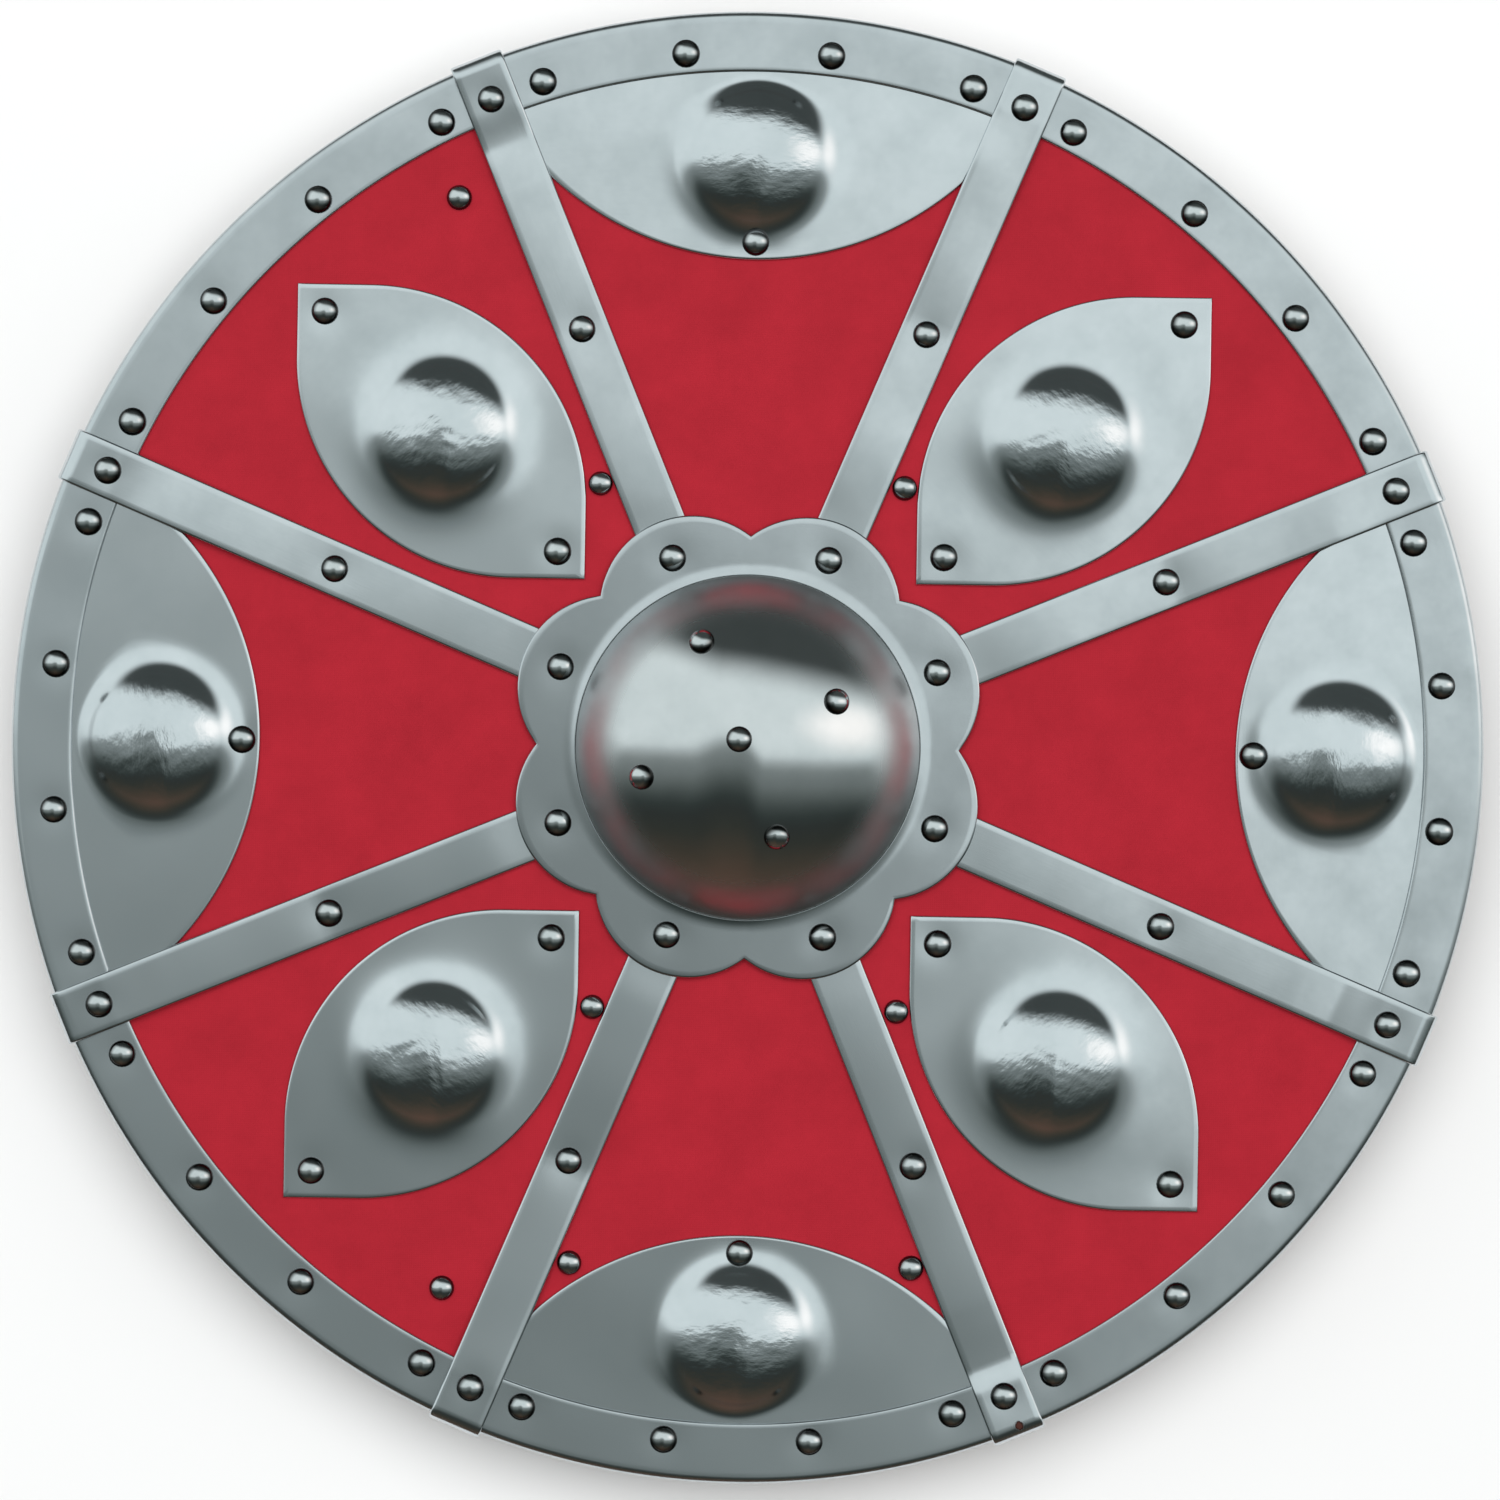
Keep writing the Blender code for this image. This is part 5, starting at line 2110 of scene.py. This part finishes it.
@dataclass(frozen=True)
class Studio:
    """Pale floor, soft overhead light and the camera straight above.

    The floor is a round board a little wider than the picture, so that the flank of the
    dome mirrors the dim room beyond it. The sky's places are in millimetres on a sphere
    that is seen from above and mirrors it; see room().

    Args:
        stack: Shared gauges and levels.
        floor: Finish of the floor.
        floor_radius: Radius of the floor.
        floor_thick: Its thickness.
        camera_height: Of the camera over the rim's face.
        view_width: Width of the picture at the rim's face.
        aim: Where the camera looks, in plan.
        roll: Turn of the camera.
        sphere: Radius of the sky's sphere.
        span: How far the soft box's colours reach both ways along +Y.
        soft_box: Places along +Y, and the room's colour at each.
        right: Places across where the soft box's edge bends nearer and is nearest, and by how much.
        left: The same on the other side.
        window: Distances from a small window where its light begins and is full, and its strength.
        window_squash: How much narrower it is along than across.
        window_shift: From the window to the middle, across, and along times the squash.
        window_glow: Its light.
        wall: Places beyond the soft box where the dim wall begins and is full, and its strength.
        wall_lean: How much nearer the wall comes towards one side.
        wall_bend: How much more it does so beyond the place wall_from.
        wall_from: The place across.
        wall_colour: Its colour.
        horizon: Distances from the sphere's middle where the horizon begins and is full.
        horizon_colour: Its colour.
        strength: Strength of the room's light.
        backdrop: Colour that the camera sees behind the floor.
        fill_size: Width of the lamp.
        fill_power: Its power in watts.
        fill_at: Its place.
        fill_tilt: Its tilt about +X.
    """

    stack: Stack
    floor: Plaster
    floor_radius: float = 0.6
    floor_thick: float = 1.0 * MM
    camera_height: float = 2.2
    view_width: float = 0.6209
    aim: Point2 = (1.0 * MM, -1.0 * MM)
    roll: float = math.radians(0.93)
    sphere: float = 81.5
    span: float = 60.0
    soft_box: tuple[tuple[float, str], ...] = (
        (-60.0, "#664E42"),
        (-38.0, "#484138"),
        (-28.0, "#383A35"),
        (-21.0, "#343836"),
        (-17.0, "#383F3D"),
        (-14.0, "#474E4C"),
        (-12.0, "#535A58"),
        (-10.0, "#606765"),
        (-8.0, "#6C7371"),
        (-5.5, "#79807F"),
        (-3.3, "#7F8685"),
        (-1.5, "#868D8C"),
        (-0.2, "#8C9392"),
        (1.3, "#A3AAA9"),
        (2.8, "#BAC2C2"),
        (4.2, "#D8E0E0"),
        (5.3, "#E5EDED"),
        (8.0, "#EAF2F2"),
        (60.0, "#ECF4F4"),
    )
    right: Point3 = (-2.0, 6.0, 7.5)
    left: Point3 = (-8.0, -20.0, 4.0)
    window: Point3 = (26.0, 4.0, 1.0)
    window_squash: float = 2.2
    window_shift: Point2 = (-38.0, -18.0)
    window_glow: tuple[float, float, float, float] = (1.36, 1.3, 1.26, 1.0)
    wall: Point3 = (17.0, 33.0, 1.0)
    wall_lean: float = 0.15
    wall_bend: float = 0.3
    wall_from: float = -10.0
    wall_colour: str = "#454A49"
    horizon: Point3 = (56.0, 63.0, 1.0)
    horizon_colour: str = "#3E3A37"
    strength: float = 1.15
    backdrop: str = "#FCFCFC"
    fill_size: float = 5.0
    fill_power: float = 150.0
    fill_at: Point3 = (0.0, 0.6, 4.0)
    fill_tilt: float = math.radians(-8.0)

    def ground(self) -> None:
        """A flat disc under the shield."""
        angle = around(192)
        radii = self.floor_radius * np.linspace(0.0, 1.0, 7)[:, None]
        x, y = radii * np.cos(angle), radii * np.sin(angle)
        rings = stacked(x, y, 0.0)
        skin = disc(rings, rings - np.array([0.0, 0.0, self.floor_thick]), (0.0, 0.0))
        floor = object_of("floor", skin, self.floor)

    def room(self, tree: Tree) -> Node:
        """Light of the room from each direction.

        A direction's place is where a sphere seen from above would mirror it: the direction
        plus +Z, made one long, times the sphere's radius. The soft box's colours go by the
        place along +Y, moved by its two bends. Over them go, each by a smooth step, the
        window, the wall and the horizon.

        Args:
            tree: The world's node tree.

        Returns:
            The light.
        """
        way = add_node(tree, "TexCoord").outputs["Generated"]
        raised = add_node(tree, "VectorMath", {0: way, 1: (0.0, 0.0, 1.0)}, operation="ADD")
        unit = add_node(tree, "VectorMath", {0: raised}, operation="NORMALIZE")
        place = add_node(tree, "VectorMath", {0: unit, "Scale": self.sphere}, operation="SCALE")
        across, along, _ = add_node(tree, "SeparateXYZ", {0: place}).outputs
        aside = add_node(tree, "Math", {0: across, 1: self.wall_from}, operation="MINIMUM")
        bent = add_node(tree, "Math", {0: aside, 1: self.wall_bend, 2: along}, operation="MULTIPLY_ADD")
        leant = add_node(tree, "Math", {0: across, 1: self.wall_lean, 2: bent}, operation="MULTIPLY_ADD")
        from_window = {0: place, 1: (1.0, self.window_squash, 0.0), 2: (*self.window_shift, 0.0)}
        squashed = add_node(tree, "VectorMath", from_window, operation="MULTIPLY_ADD")
        off_window = add_node(tree, "VectorMath", {0: squashed}, operation="LENGTH")
        flat = add_node(tree, "VectorMath", {0: place, 1: (1.0, 1.0, 0.0)}, operation="MULTIPLY")
        out = add_node(tree, "VectorMath", {0: flat}, operation="LENGTH")
        right, left, window, wall, horizon = (
            add_node(
                tree,
                "MapRange",
                {"Value": value, "From Min": start, "From Max": full, "To Max": height},
                interpolation_type="SMOOTHSTEP",
            )
            for value, (start, full, height) in (
                (across, self.right),
                (across, self.left),
                (off_window, self.window),
                (leant, self.wall),
                (out, self.horizon),
            )
        )
        bends = add_node(tree, "Math", {0: right, 1: left}, operation="ADD")
        moved = add_node(tree, "Math", {0: bends, 1: along}, operation="ADD")
        share = add_node(tree, "MapRange", {"Value": moved, "From Min": -self.span, "From Max": self.span})
        stops = [((y + self.span) / (2 * self.span), colour) for y, colour in self.soft_box]
        room = add_node(tree, "ValToRGB", {0: share}, stops=stops)
        for step, colour in (
            (window, self.window_glow),
            (wall, linear(self.wall_colour)),
            (horizon, linear(self.horizon_colour)),
        ):
            room = add_node(tree, "Mix", {"Factor": step, "A": room, "B": colour}, data_type="RGBA")
        return room

    def sky(self) -> None:
        """The room as the steel mirrors it, and behind the floor a plain backdrop."""
        world = bpy.data.worlds.new("studio")
        bpy.context.scene.world = world
        world.use_nodes = True
        tree = world.node_tree
        tree.nodes.clear()
        seen = add_node(tree, "LightPath").outputs["Is Camera Ray"]
        inside = add_node(tree, "Background", {"Color": self.room(tree), "Strength": self.strength})
        behind = add_node(tree, "Background", {"Color": linear(self.backdrop)})
        both = add_node(tree, "MixShader", {0: seen, 1: inside, 2: behind})
        add_node(tree, "OutputWorld", {0: both})

    def fill(self) -> None:
        """An even overhead light for the paint, the wood and the floor; steel doesn't mirror it."""
        lamp = bpy.data.lights.new("fill", "AREA")
        lamp.shape = "DISK"
        lamp.size = self.fill_size
        lamp.energy = self.fill_power
        light = bpy.data.objects.new("fill", lamp)
        light.location = self.fill_at
        light.rotation_euler = (self.fill_tilt, 0.0, 0.0)
        light.visible_glossy = False
        light.visible_camera = False
        bpy.context.scene.collection.objects.link(light)

    def camera(self) -> None:
        """Straight above, a little turned, with the lens that gives the picture's width."""
        lens = bpy.data.cameras.new("camera")
        lens.sensor_width = 36.0
        lens.lens = lens.sensor_width * self.camera_height / self.view_width
        lens.clip_end = 100.0
        eye = bpy.data.objects.new("camera", lens)
        eye.location = (*self.aim, self.stack.high_rim + self.camera_height)
        eye.rotation_euler = (0.0, 0.0, self.roll)
        bpy.context.scene.collection.objects.link(eye)
        bpy.context.scene.camera = eye

    def build(self) -> None:
        """Makes the floor, the light and the camera."""
        self.ground()
        self.sky()
        self.fill()
        self.camera()
        bpy.context.scene.view_settings.view_transform = "Standard"


def main() -> None:
    """Builds the shield and its studio."""
    logging.basicConfig(level=logging.INFO, format="%(name)s %(message)s")
    stack = Stack()
    satin = Steel("rubbed_sheet_steel", 0.22, light="#C6CCCF", dark="#BBC2C5", lay=Lay.LENGTHWISE)
    rust = (116.8 * MM, -278.4 * MM, stack.strap_top + 0.8 * MM)
    folded = Steel("rubbed_strap_steel", 0.18, lay=Lay.LENGTHWISE, rust=rust)
    pressed = Steel(
        "pressed_sheet_steel",
        0.16,
        light="#D0D6D9",
        dark="#C5CCCF",
        lay=Lay.UPRIGHT,
        boss=31.0 * MM,
        hammer=0.15 * MM,
    )
    clouded = Steel("rubbed_plate_steel", 0.13, light="#C3C9CC", dark="#B7BDC0")
    mirror = Steel(
        "polished_dome_steel",
        0.46,
        light="#CFD3D4",
        dark="#C4C9CA",
        lay=Lay.UPRIGHT,
        depth=0.0022 * MM,
        boss=62.0 * MM,
        boss_roughness=0.1,
        polished=0.8,
    )
    # The rivets' foot setting darkens the outer part of each head and rove: partly oxidised steel, partly
    # painted shade.
    bright = Steel("rivet_steel", 0.15, light="#CDD2D3", dark="#BDC3C4", depth=0.001 * MM, foot=5.7 * MM)
    pine = OiledPine("oiled_pine", 0.5, plank=stack.plank_width, count=stack.planks)
    head = RivetHead(stack.head_radius * 1.12, stack.head_rise * 1.04)
    dome_head = RivetHead(stack.head_radius * 1.04, stack.head_rise)
    field_head = RivetHead(stack.head_radius, stack.head_rise)
    end = ClosedEnd()
    Board(stack, pine, Paint("red_paint", 0.6)).build()
    Rim(stack, satin, bright, head, end).build()
    LensPlates(stack, pressed, bright, head, end, Boss()).build()
    LeafPlates(stack, pressed, bright, head, end, Boss()).build()
    SteelStraps(stack, folded, bright, head, end).build()
    CentrePlate(stack, clouded, bright, head, end).build()
    Dome(stack, mirror, bright, dome_head).build()
    ArmStraps(stack, Leather("dark_leather", 0.55), bright, field_head, end).build()
    Studio(stack, Plaster("pale_plaster", 0.9)).build()


if __name__ == "__main__":
    main()
